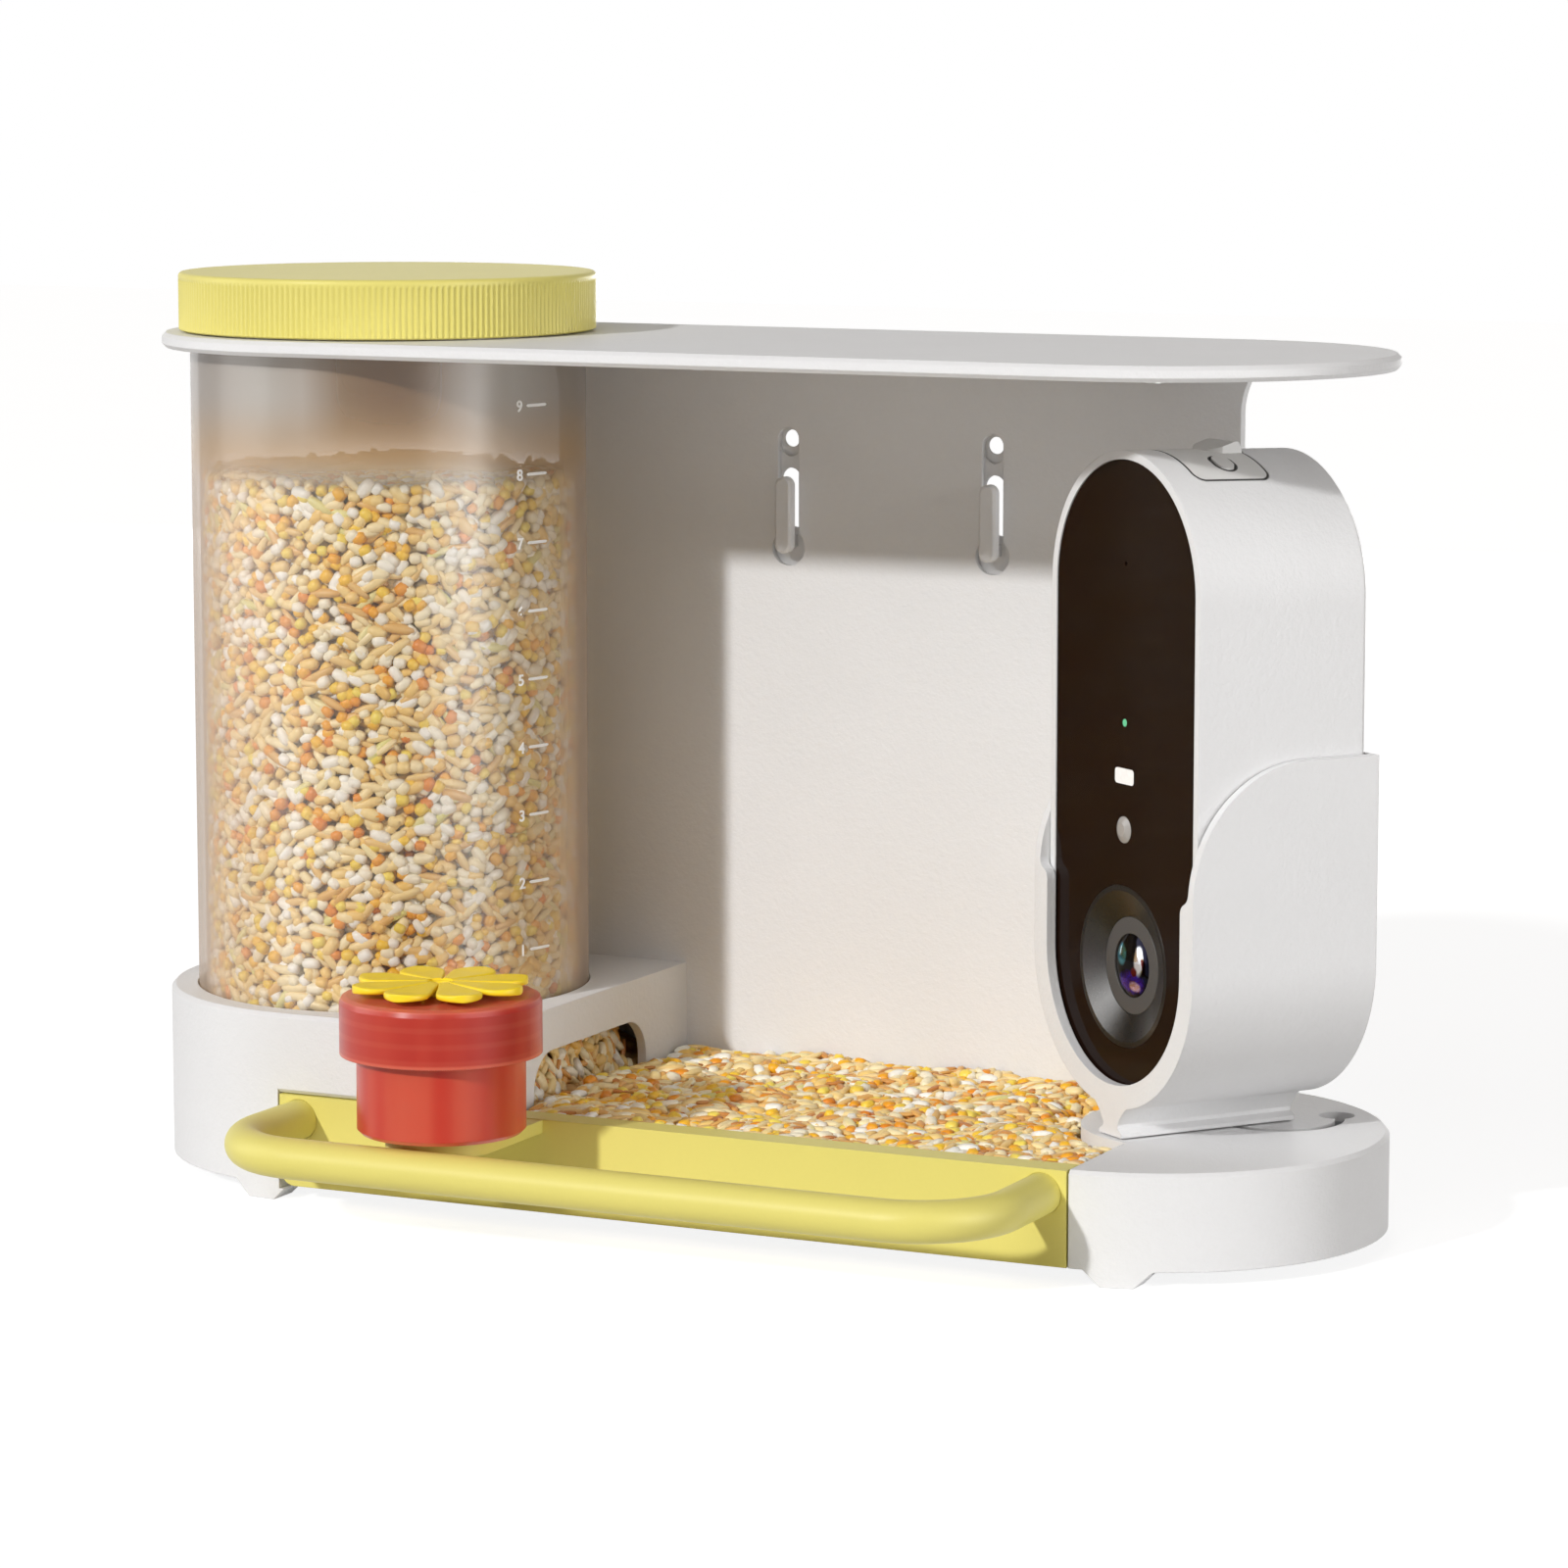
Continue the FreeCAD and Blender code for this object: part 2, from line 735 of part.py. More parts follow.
def make_base():
    """Skirt, deck with its lobe, tower with the tube seat and arch, bay, feet and arc slot."""
    base = Piece("base")
    base.pad([obround(half_span, end_radius)], XY, 0, deck_top)
    base.pad([[
        at(tower_face, -end_radius),
        at(tower_face, end_radius),
        bend(-half_span, end_radius, end_radius),
        bend(-half_span - end_radius, 0, end_radius),
        at(-half_span, -end_radius),
    ]], XY, size.foot_rise, size.tower_rise)
    half = size.foot_top / 2
    base.pocket([
        foot_gap_outline(-far, -size.left_foot - half),
        foot_gap_outline(-size.left_foot + half, size.right_foot - half),
        foot_gap_outline(size.right_foot + half, far),
    ], XZ, -far, far * 2)
    inner = end_radius - size.foot_depth
    base.pocket([rect(-far, -inner, far, inner)], XY, -past, size.foot_rise + past)
    above = tower_top - floor_top + past
    base.pocket([rect(tower_face, -far, bay_right, rail_front)], XY, floor_top, above)
    base.pocket([rect(tower_face, rail_front - past, bay_right, plate_front)], XY, rail_top,
                tower_top - rail_top + past)
    base.pocket([rect(plate_left - size.plate_fit, plate_front, plate_right + size.plate_fit, far)], XY,
                floor_top, above)
    base.pocket([rect(-half_span - past, -far, bay_right, -(fascia_back - size.slide_gap))], XY,
                size.foot_rise - past, size.deck_rise + past)
    base.pad([Disc(lobe_x, size.lobe_back, size.lobe_radius)], XY, size.foot_rise, size.deck_rise)
    inset = end_radius - size.shell_wall
    cut_x = bay_right + size.shell_wall
    cut_y = leg(inset, cut_x - half_span)
    deck_room = size.deck_rise - size.shell_wall
    base.pocket([[
        bend(cut_x, -cut_y, inset),
        bend(half_span + inset, 0, inset),
        at(cut_x, cut_y),
    ]], XY, size.foot_rise - past, deck_room + past)
    base.pocket([Disc(lobe_x, size.lobe_back, size.lobe_radius - size.shell_wall)], XY,
                size.foot_rise - past, deck_room + past)
    base.pocket([tower_hollow(as_size(0))], XY, size.foot_rise - past, ledge_under - size.foot_rise + past)
    base.pocket([Disc(-half_span, 0, bore_radius - size.ledge_width)], XY, ledge_under - past,
                size.shell_wall + past * 2)
    base.pocket([Disc(-half_span, 0, bore_radius)], XY, ledge_top, size.hopper_seat + past)
    base.pocket([[
        at(-size.arch_half, floor_top),
        at(size.arch_half, floor_top),
        bend(size.arch_half, arch_top - size.arch_round, size.arch_round),
        at(size.arch_half - size.arch_round, arch_top),
        bend(-(size.arch_half - size.arch_round), arch_top, size.arch_round),
        at(-size.arch_half, arch_top - size.arch_round),
    ]], YZ, tower_face - size.shell_wall - past, size.shell_wall + past * 2)
    through = deck_top - size.shell_wall - past
    middle = (size.slot_from + size.slot_to) / 2
    outer = size.slot_radius + size.slot_width / 2
    inner_arc = size.slot_radius - size.slot_width / 2
    deck_cut = size.shell_wall + past * 2

    def on_slot(radius, angle):
        return pivot_x + radius * cosine(angle), size.pivot_back + radius * sine(angle)

    base.pocket([[
        bend(*on_slot(outer, size.slot_from), outer),
        bend(*on_slot(outer, middle), outer),
        at(*on_slot(outer, size.slot_to)),
        dent(*on_slot(inner_arc, size.slot_to), inner_arc),
        dent(*on_slot(inner_arc, middle), inner_arc),
        at(*on_slot(inner_arc, size.slot_from)),
    ]], XY, through, deck_cut)
    base.pocket([Disc(*on_slot(size.slot_radius, size.bulge_at), size.bulge_radius)], XY, through, deck_cut)
    base.pocket([Disc(pivot_x, size.pivot_back, size.pivot_radius + size.pivot_fit)], XY, through, deck_cut)
    base.pocket([Disc(x, screw_line, size.screw_radius + size.screw_fit) for x in plate_screw_places()], XZ,
                plate_front - screw_bite - past, screw_bite + past * 2)
    base.bevel(size.edge_round, lambda edge: on_rim(edge) and (
        level_edge(edge, deck_top) or level_edge(edge, tower_top)))
    finish(base.body, "base")


def plate_screw_places():
    """Three screws along the foot of the back plate."""
    return (plate_left + size.plate_screw_inset, size.key_middle, plate_right - size.plate_screw_inset)


def roof_screw_places():
    """Two screws along the flange under the roof."""
    return (flange_left + size.roof_screw_inset, flange_right - size.roof_screw_inset)


def make_chute():
    """Sloped insert that leads seed from the tube to the arch, open below."""
    chute = Piece("chute")
    bottom = size.foot_rise + size.bench_gap
    chute.pad([tower_hollow(size.bench_gap)], XY, bottom, ramp_top - bottom)
    chute.pocket([[
        at(ramp_start, ramp_top),
        at(tower_face, ramp_foot),
        at(tower_face, ramp_top + past),
        at(ramp_start, ramp_top + past),
    ]], XZ, -far, far * 2)
    inner_left = -half_span - end_radius + size.shell_wall * 4
    inner_right = tower_face - size.shell_wall * 2 - size.bench_gap
    under = ramp_top - size.tray_wall
    chute.pocket([[
        at(inner_left, -past),
        at(inner_right, -past),
        at(inner_right, under - ramp_drop * (inner_right - ramp_start)),
        at(inner_left, under - ramp_drop * (inner_left - ramp_start)),
    ]], XZ, -(hollow_front - size.shell_wall * 2), hollow_front + rail_front - size.shell_wall * 4)
    finish(chute.body, "chute")


def make_throat_seed():
    """Seed lying on the chute and standing in the arch."""
    seed = Piece("throat_seed")
    bottom = ramp_foot
    top = ledge_under - size.seed_gap
    inset = size.bench_gap + size.seed_gap
    seed.pad([tower_hollow(inset)], XY, bottom, top - bottom)
    half = size.arch_half - size.seed_gap
    right = tower_face - size.seed_gap
    crest = arch_top - size.arch_round
    seed.pad([rect(tower_face - size.shell_wall - past * 2, -half, right, half)], XY, bottom, crest - bottom)
    seed.pocket([[
        at(ramp_start, ramp_foot - past),
        at(tower_face, ramp_foot - past),
        at(tower_face, ramp_foot + size.seed_gap),
        at(ramp_start, ramp_top + size.seed_gap),
    ]], XZ, -far, far * 2)
    slope_from = -half_span + size.hopper_radius / 2
    seed.pocket([[
        at(slope_from, top),
        at(tower_face, crest - past * 4),
        at(tower_face + past, top + past),
        at(slope_from, top + past),
    ]], XZ, -far, far * 2)
    finish(seed.body, "throat_seed")


def key_places():
    """The two keyholes, left and right."""
    return (size.key_middle - size.key_spacing / 2, size.key_middle + size.key_spacing / 2)


def make_back_plate():
    """Upright plate with keyholes and a flange under the roof."""
    plate = Piece("back_plate")
    flare = size.flare_round - leg(size.flare_round, size.flare_rise)
    flare_low = roof_under - size.flare_rise
    plate.pad([[
        at(plate_left, floor_top),
        at(plate_right, floor_top),
        dent(plate_right, flare_low, size.flare_round),
        at(plate_right + flare, roof_under),
        dent(plate_left - flare, roof_under, size.flare_round),
        at(plate_left, flare_low),
    ]], XZ, plate_front, size.plate_thick)
    plate.pad([rect(flange_left, plate_front - size.flange_depth, flange_right, plate_front + past)], XY,
              flange_top - size.flange_thick, size.flange_thick)
    half = size.key_slot / 2
    blind_low = key_z - size.key_bridge
    loops = []
    for x in key_places():
        loops.append(Disc(x, key_z, size.key_hole))
    plate.pocket(loops, XZ, plate_front - past, size.plate_thick + past * 2)
    loops = []
    for x in key_places():
        loops.append(keyhole_outline(x, half, entry_z, blind_low - past))
    plate.pocket(loops, XZ, plate_front - past, size.plate_thick + past * 2)
    loops = []
    for x in key_places():
        loops.append(keyhole_outline(x, half, entry_z, key_z))
    plate.pocket(loops, XZ, plate_front - past, size.key_blind + past)
    loops = []
    for x in key_places():
        loops.append(stadium(half, key_z + half - size.pit_height, key_z + half, x))
    plate.pocket(loops, XZ, plate_front - past, size.plate_thick - size.key_skin + past)
    rear = size.lock_button + size.slide_gap / 2
    loops = []
    for x in key_places():
        loops.append(rect(x - rear, entry_z - rear, x + rear, entry_z + rear + size.lock_travel))
    plate.pocket(loops, XZ, plate_front + size.plate_thick - size.key_blind, size.key_blind + past)
    plate.pocket([Disc(x, screw_line, size.screw_radius + size.screw_fit) for x in plate_screw_places()], XZ,
                 plate_front - past, size.plate_thick + past * 2)
    plate.pocket([Disc(x, screw_line, size.screw_head + size.screw_fit) for x in plate_screw_places()], XZ,
                 plate_front + size.plate_thick - size.screw_head_thick, size.screw_head_thick + past)
    plate.pocket([Disc(x, flange_line, size.screw_radius + size.screw_fit) for x in roof_screw_places()], XY,
                 flange_top - size.flange_thick - past, size.flange_thick + past * 2)
    finish(plate.body, "back_plate")


def keyhole_outline(x, half, low, high):
    """A slot with a round top and a wider round entry at its lower end."""
    join = leg(size.key_entry, half)
    return [
        at(x + half, low + join),
        bend(x + half, high, half),
        bend(x, high + half, half),
        at(x - half, high),
        bend(x - half, low + join, size.key_entry),
        bend(x - size.key_entry, low, size.key_entry),
        bend(x, low - size.key_entry, size.key_entry),
        bend(x + size.key_entry, low, size.key_entry),
    ]


def make_lock(label, x):
    """Slider in a keyhole: a pad in front, a neck through the slot and a disc that closes the entry behind."""
    lock = Piece(label)
    disc_gap = size.slide_gap / 2
    half = size.lock_width / 2
    low = entry_z - size.key_entry / 4
    pad_back = plate_front - size.lock_stand
    front = pad_back - size.lock_proud
    lock.pad([stadium(half, low, low + size.lock_height, x)], XZ, front, size.lock_proud)
    lock.bevel(size.lock_bevel, lambda edge: upright_edge(edge, front))
    neck = size.lock_neck / 2
    back = plate_front + size.plate_thick - size.key_blind + disc_gap
    disc_thick = size.key_blind - size.slide_gap
    lock.pad([rect(x - neck, entry_z, x + neck, entry_z + size.lock_neck)], XZ, pad_back - past,
             back + disc_thick / 2 - pad_back + past)
    lock.pad([Disc(x, entry_z, size.lock_button)], XZ, back, disc_thick)
    finish(lock.body, label)


def make_roof():
    """Obround roof with the tube's hole and bosses for the flange."""
    roof = Piece("roof")
    roof.pad([obround(half_span, end_radius)], XY, roof_under, size.roof_thick)
    roof.pocket([Disc(-half_span, 0, bore_radius)], XY, roof_under - past, size.roof_thick + past * 2)
    roof.bevel(size.edge_round, lambda edge: on_rim(edge) and not edge.BoundBox.ZLength > past.number)
    roof.pad([Disc(x, flange_line, size.boss_radius) for x in roof_screw_places()], XY, flange_top,
             size.boss_height + past)
    roof.pocket([Disc(x, flange_line, size.screw_radius + size.screw_fit) for x in roof_screw_places()], XY,
                flange_top - past, size.boss_height + size.roof_thick / 2 + past)
    finish(roof.body, "roof")


def make_screws():
    """The two sets of screws, each set one sub-part of separate solids."""
    plate_set = Piece("plate_screws")
    back = plate_front + size.plate_thick
    places = plate_screw_places()
    plate_set.pad([Disc(x, screw_line, size.screw_head) for x in places], XZ, back - size.screw_head_thick,
                  size.screw_head_thick)
    plate_set.pad([Disc(x, screw_line, size.screw_radius) for x in places], XZ,
                  plate_front - screw_bite, size.plate_thick + screw_bite - size.screw_head_thick / 2)
    finish(plate_set.body, "plate_screws")
    roof_set = Piece("roof_screws")
    places = roof_screw_places()
    low = flange_top - size.flange_thick
    roof_set.pad([Disc(x, flange_line, size.screw_head) for x in places], XY, low - size.screw_head_thick,
                 size.screw_head_thick)
    roof_set.pad([Disc(x, flange_line, size.screw_radius) for x in places], XY,
                 low - size.screw_head_thick / 2,
                 size.screw_head_thick / 2 + size.flange_thick + size.boss_height + size.roof_thick / 4)
    finish(roof_set.body, "roof_screws")


def make_hopper():
    """Clear tube standing on the tower's ledge and passing through the roof."""
    hopper = Piece("hopper")
    inner = size.hopper_radius - size.hopper_wall
    hopper.turned([[
        at(inner, ledge_top),
        at(size.hopper_radius, ledge_top),
        at(size.hopper_radius, hopper_top - size.hopper_wall / 2),
        at(size.hopper_radius - size.hopper_wall / 2, hopper_top),
        at(inner, hopper_top),
    ]], x=-half_span)
    finish(hopper.body, "hopper")
    seed = Piece("hopper_seed")
    seed_top = size.foot_rise + size.seed_rise
    seed.turned([rect(0, ledge_top + size.seed_gap, inner - size.seed_gap, seed_top)], x=-half_span)
    finish(heaped(seed, "hopper_seed", seed_top, -half_span - inner, -inner, -half_span + inner, inner),
           "hopper_seed")
    seal = Piece("cap_seal")
    seal.turned([rect(inner, hopper_top, size.hopper_radius, hopper_top + size.seal_thick)], x=-half_span)
    finish(seal.body, "cap_seal")


def make_cap():
    """Screw cap with a bevelled top over the neck of the tube."""
    cap = Piece("cap")
    low = roof_top + size.cap_gap
    high = roof_top + size.cap_height
    inner = size.hopper_radius + size.hopper_gap
    ceiling = hopper_top + size.seal_thick
    cap.turned([[
        at(inner, low),
        at(cap_radius, low),
        at(cap_radius, high - size.cap_chamfer),
        at(cap_radius - size.cap_chamfer, high),
        at(0, high),
        at(0, ceiling),
        at(inner, ceiling),
    ]], x=-half_span)
    finish(cap.body, "cap")


def make_tray():
    """Drawer: plain front, lip beam, floor with low sides, tongue and spigot for the cup."""
    tray = Piece("tray")
    right = bay_right - size.slide_gap
    low = size.foot_rise
    r = size.fascia_round
    tray.pad([[
        at(tray_left + r, low),
        at(right, low),
        at(right, lip_top),
        at(tray_left, lip_top),
        bend(tray_left, low + r, r),
    ]], XZ, -end_radius, size.fascia_thick)
    bed_left = tower_face + size.slide_gap
    bed_floor = floor_top + size.slide_gap / 2
    lip_back = -(end_radius - size.lip_width)
    tray.pad([rect(bed_left, bed_floor, right, lip_top)], XZ, -fascia_back - past,
             size.lip_width - size.fascia_thick + past)
    back = rail_front - size.slide_gap
    step_y = size.lobe_back - size.lobe_radius - size.slide_gap
    step_x = lobe_x - size.lobe_radius - size.slide_gap
    outline = [
        at(bed_left, lip_back - past),
        at(right, lip_back - past),
        at(right, step_y),
        at(step_x, step_y),
        at(step_x, back),
        at(bed_left, back),
    ]
    tray.pad([outline], XY, bed_floor, size.tray_side)
    tray.pocket([[
        at(bed_left + size.tray_wall, lip_back),
        at(right - size.tray_wall, lip_back),
        at(right - size.tray_wall, step_y - size.tray_wall),
        at(step_x - size.tray_wall, step_y - size.tray_wall),
        at(step_x - size.tray_wall, back - size.tray_wall),
        at(bed_left + size.tray_wall, back - size.tray_wall),
    ]], XY, bed_floor + size.tray_wall, size.tray_side)
    under_lip = rect(bed_left + size.tray_wall, -fascia_back, right - size.tray_wall,
                     lip_back - size.tray_wall)
    tray.pocket([under_lip], XY, low - past, lip_top - size.tray_wall - low + past)
    tongue_low = size.foot_rise + size.cup_rise - size.tongue_thick
    tray.pad([[
        at(-size.cup_along - size.tongue_radius, -end_radius + past),
        bend(-size.cup_along - size.tongue_radius, -end_radius - size.cup_out, size.tongue_radius),
        bend(-size.cup_along, -end_radius - size.cup_out - size.tongue_radius, size.tongue_radius),
        at(-size.cup_along + size.tongue_radius, -end_radius - size.cup_out),
        at(-size.cup_along + size.tongue_radius, -end_radius + past),
    ]], XY, tongue_low, size.tongue_thick - size.bench_gap * 2)
    tray.pad([Disc(-size.cup_along, -end_radius - size.cup_out, size.tongue_radius)], XY, tongue_low,
             size.tongue_thick)
    tray.pad([Disc(-size.cup_along, -end_radius - size.cup_out, size.spigot_radius)], XY,
             tongue_low + size.tongue_thick - past, size.spigot_height + past)
    bar_y = -end_radius - size.perch_reach
    tray.pocket([Disc(bar_y, perch_z, size.perch_thick / 2 + size.screw_fit)], YZ,
                -size.cup_along - size.tongue_radius - past, size.tongue_radius * 2 + past * 2)
    leg_bore = size.perch_thick / 2 + size.screw_fit
    legs = [Disc(side * perch_half, perch_z, leg_bore) for side in (-1, 1)]
    tray.pocket(legs, XZ, -end_radius - past, size.fascia_thick + past + size.slide_gap)
    finish(tray.body, "tray")
    seed = Piece("tray_seed")
    gap = size.seed_gap
    seed_top = size.foot_rise + size.tray_seed_rise
    floor = bed_floor + size.tray_wall + gap
    seed.pad([[
        at(bed_left + size.tray_wall + gap, lip_back + gap),
        at(right - size.tray_wall - gap, lip_back + gap),
        at(right - size.tray_wall - gap, step_y - size.tray_wall - gap),
        at(step_x - size.tray_wall - gap, step_y - size.tray_wall - gap),
        at(step_x - size.tray_wall - gap, back - size.tray_wall - gap),
        at(bed_left + size.tray_wall + gap, back - size.tray_wall - gap),
    ]], XY, floor, seed_top - floor)
    over = max((rail_top, bed_floor + size.tray_side), key=lambda level: level.number) + gap
    seed.pad([[
        at(bed_left, lip_back + gap),
        at(right, lip_back + gap),
        at(right, step_y),
        at(step_x, step_y),
        at(step_x, plate_front - size.slide_gap),
        at(bed_left, plate_front - size.slide_gap),
    ]], XY, over, seed_top - over)
    finish(heaped(seed, "tray_seed", seed_top, bed_left, lip_back, right, plate_front), "tray_seed")


def make_perch():
    """Round bar with two bent ends set in the tray's front."""
    perch = Piece("perch")
    r = size.perch_bend
    start = -fascia_back
    front = -end_radius - size.perch_reach
    path = perch.sketch([], XY, out=perch_z)
    places = [
        (-perch_half, start, None),
        (-perch_half, front + r, 1),
        (-perch_half + r, front, None),
        (perch_half - r, front, 1),
        (perch_half, front + r, None),
        (perch_half, start, None),
    ]
    draw_path(path, places, r)
    end = Disc(-perch_half, perch_z, size.perch_thick / 2)
    profile = perch.sketch([end], XZ, out=-start)
    pipe = perch.body.newObject("PartDesign::AdditivePipe", "perch_pipe")
    pipe.Profile = profile
    pipe.Spine = (path, [f"Edge{i + 1}" for i in range(len(places) - 1)])
    perch.body.Tip = pipe
    finish(perch.body, "perch")


def draw_path(sketch, places, radius):
    """Draw an open path of lines and left-turning bends of one radius."""
    ends = []
    for (x, y, turn), (next_x, next_y, _) in zip(places, places[1:]):
        here = Vector(x.number, y.number, 0)
        there = Vector(next_x.number, next_y.number, 0)
        if turn is None:
            sketch.addGeometry(Part.LineSegment(here, there))
            ends.append((1, 2))
        else:
            arc, pair = arc_between(here, there, radius.number, turn)
            sketch.addGeometry(arc)
            ends.append(pair)
    rules = []
    formulas = []
    for index, (x, y, turn) in enumerate(places):
        line = min(index, len(ends) - 1)
        spot = ends[line][0] if index < len(ends) else ends[line][1]
        if 0 < index < len(ends):
            rules.append(Sketcher.Constraint("Coincident", index - 1, ends[index - 1][1], index, spot))
            formulas.append(None)
        rules.append(Sketcher.Constraint("DistanceX", -1, 1, line, spot, x.number))
        formulas.append(x.formula)
        rules.append(Sketcher.Constraint("DistanceY", -1, 1, line, spot, y.number))
        formulas.append(y.formula)
        if turn is not None:
            rules.append(Sketcher.Constraint("Radius", line, radius.number))
            formulas.append(radius.formula)
    tie_rules(sketch, rules, formulas)


def make_cup():
    """Nectar cup with a threaded collar, its screw lid, seal and flower."""
    x = -size.cup_along
    y = -end_radius - size.cup_out
    low = size.foot_rise + size.cup_rise
    top = low + size.cup_height
    recess = size.spigot_radius + size.bench_gap
    inner = size.cup_radius - size.cup_wall
    collar_low = size.foot_rise + size.lid_rise + size.cup_wall
    cup = Piece("cup")
    cup.turned([[
        at(recess, low),
        at(size.cup_radius - size.edge_round, low),
        at(size.cup_radius, low + size.edge_round),
        at(size.cup_radius, collar_low - size.cup_wall),
        at(cup_collar, collar_low),
        at(cup_collar, top),
        at(inner, top),
        at(inner, low + size.cup_floor),
        at(0, low + size.cup_floor),
        at(0, low + size.spigot_height + size.bench_gap / 2),
        at(recess, low + size.spigot_height + size.bench_gap / 2),
    ]], x=x, y=y)
    finish(cup.body, "cup")
    seal = Piece("cup_seal")
    seal.turned([rect(inner, top, cup_collar, top + size.seal_thick)], x=x, y=y)
    finish(seal.body, "cup_seal")
    ceiling = top + size.seal_thick
    lid_high = ceiling + size.lid_top
    lid = Piece("cup_lid")
    lid.turned([[
        at(lid_bore, size.foot_rise + size.lid_rise),
        at(lid_radius, size.foot_rise + size.lid_rise),
        at(lid_radius, lid_high - size.lid_round),
        at(lid_radius - size.lid_round * 0.3, lid_high - size.lid_round * 0.3),
        at(lid_radius - size.lid_round, lid_high),
        at(size.port_radius, lid_high),
        at(size.port_radius, ceiling),
        at(lid_bore, ceiling),
    ]], x=x, y=y)
    finish(lid.body, "cup_lid")
    flower = Piece("flower")
    petal_low = lid_high + size.flower_stand
    flower.turned([rect(size.port_radius, lid_high, size.flower_hub, petal_low + size.petal_thick)], x=x, y=y)
    tip = size.flower_radius - size.petal_half
    root_half = size.petal_half / 4
    for index in range(petal_count):
        petal = petal_outline(x, y, index * 360 / petal_count, tip, root_half)
        flower.pad([petal], XY, petal_low, size.petal_thick)
    finish(flower.body, "flower")


def petal_outline(x, y, degrees, tip, root_half):
    """One petal: narrow at the hub, widest before its round tip."""
    angle = as_size(degrees)
    along = (cosine(angle), sine(angle))

    def spot(out, side):
        return x + out * along[0] - side * along[1], y + out * along[1] + side * along[0]

    start = size.flower_hub - past
    return [
        at(*spot(start, -root_half)),
        bend(*spot(tip, -size.petal_half), size.petal_half),
        bend(*spot(tip + size.petal_half, 0), size.petal_half),
        at(*spot(tip, size.petal_half)),
        at(*spot(start, root_half)),
    ]


def make_cradle():
    """Open-topped cradle with a front lip, a narrow foot, a pivot and a guide in the slot."""
    cradle = Piece("cradle")
    depth = size.cradle_front + cradle_back
    cradle.pad([trough(cradle_half, cradle_low, cradle_top)], XZ, -size.cradle_front, depth)
    flare = cradle_half / 3
    meet = cradle_low + cradle_half - leg(cradle_half, flare)
    sole = deck_top + size.foot_gap
    waist_low = sole + size.sole_edge * 2
    swell = meet - waist_low
    cradle.pad([[
        at(-size.foot_half, sole),
        at(size.foot_half, sole),
        at(size.foot_half, sole + size.sole_edge),
        at(size.waist_half, waist_low),
        dent(size.waist_half, waist_low + past, swell * 2),
        at(flare, meet + past),
        dent(-flare, meet + past, swell * 2),
        at(-size.waist_half, waist_low + past),
        at(-size.waist_half, waist_low),
        at(-size.foot_half, sole + size.sole_edge),
    ]], XZ, -size.cradle_front, size.cradle_front + size.pivot_radius / 2)
    cradle.pocket([trough(cradle_half - size.cradle_wall, cradle_low + size.cradle_wall, cradle_top + past)],
                  XZ, -size.cradle_front + size.cradle_lip, depth - size.cradle_lip - size.cradle_rear)
    lip_low = cradle_low + cradle_half - lip_inner
    lip_high = cradle_low + size.lip_rise
    shoulder = cradle_half - size.cradle_wall
    step = shoulder - lip_inner
    curl = (step * step + size.lip_blend * size.lip_blend) / (step * 4)
    mid_lip = (shoulder + lip_inner) / 2
    cradle.pocket([[
        dent(lip_inner, lip_high - size.lip_blend / 2, curl),
        bend(mid_lip, lip_high, curl),
        at(shoulder, lip_high + size.lip_blend / 2),
        at(shoulder, cradle_top + past),
        at(-shoulder, cradle_top + past),
        bend(-shoulder, lip_high + size.lip_blend / 2, curl),
        dent(-mid_lip, lip_high, curl),
        at(-lip_inner, lip_high - size.lip_blend / 2),
        bend(-lip_inner, lip_low + lip_inner, lip_inner),
        bend(0, lip_low, lip_inner),
        at(lip_inner, lip_low + lip_inner),
    ]], XZ, -size.cradle_front - past, size.cradle_lip + past * 2)
    cradle.pocket([[
        dent(-size.cradle_front, cradle_top - size.cradle_sweep, size.cradle_sweep),
        at(-size.cradle_front + size.cradle_sweep, cradle_top),
        at(-size.cradle_front + size.cradle_sweep, cradle_top + past),
        at(-size.cradle_front - past, cradle_top + past),
        at(-size.cradle_front - past, cradle_top - size.cradle_sweep),
    ]], YZ, -far, far * 2)
    cradle.pad([Disc(0, 0, size.pivot_radius)], XY, deck_under - size.foot_gap,
               deck_top - deck_under + size.foot_gap * 3)
    guide = size.slot_width / 2 - size.slide_gap / 2
    cradle.pad([rect(-guide * 2, -size.slot_radius - guide, guide * 2, -size.slot_radius + guide)], XY,
               deck_under, deck_top - deck_under + size.foot_gap * 2)
    cradle.pocket([Disc(0, 0, size.screw_radius + size.screw_fit)], XY, deck_under - past,
                  deck_top - deck_under + past)
    finish_camera(cradle.body, "cradle")
    washer = Piece("pivot_washer")
    washer_top = deck_under - size.foot_gap
    washer_low = washer_top - size.washer_thick
    washer.turned([rect(size.screw_radius + size.screw_fit, washer_low, size.washer_radius, washer_top)])
    finish_camera(washer.body, "pivot_washer")
    screw = Piece("pivot_screw")
    screw.turned([[
        at(0, washer_low - size.screw_head_thick),
        at(size.screw_head, washer_low - size.screw_head_thick),
        at(size.screw_head, washer_low),
        at(size.screw_radius, washer_low),
        at(size.screw_radius, deck_top - past),
        at(0, deck_top - past),
    ]])
    finish_camera(screw.body, "pivot_screw")


def cover_prism(label, inset):
    """An upright block over the port cover's outline, drawn in by an inset."""
    block = Piece(label)
    block.pad([rounded(-size.cover_half + inset, -size.cover_to + inset, size.cover_half - inset,
                       -size.cover_from - inset, size.cover_round)], XY, dome_axis, size.housing_half * 2)
    return block


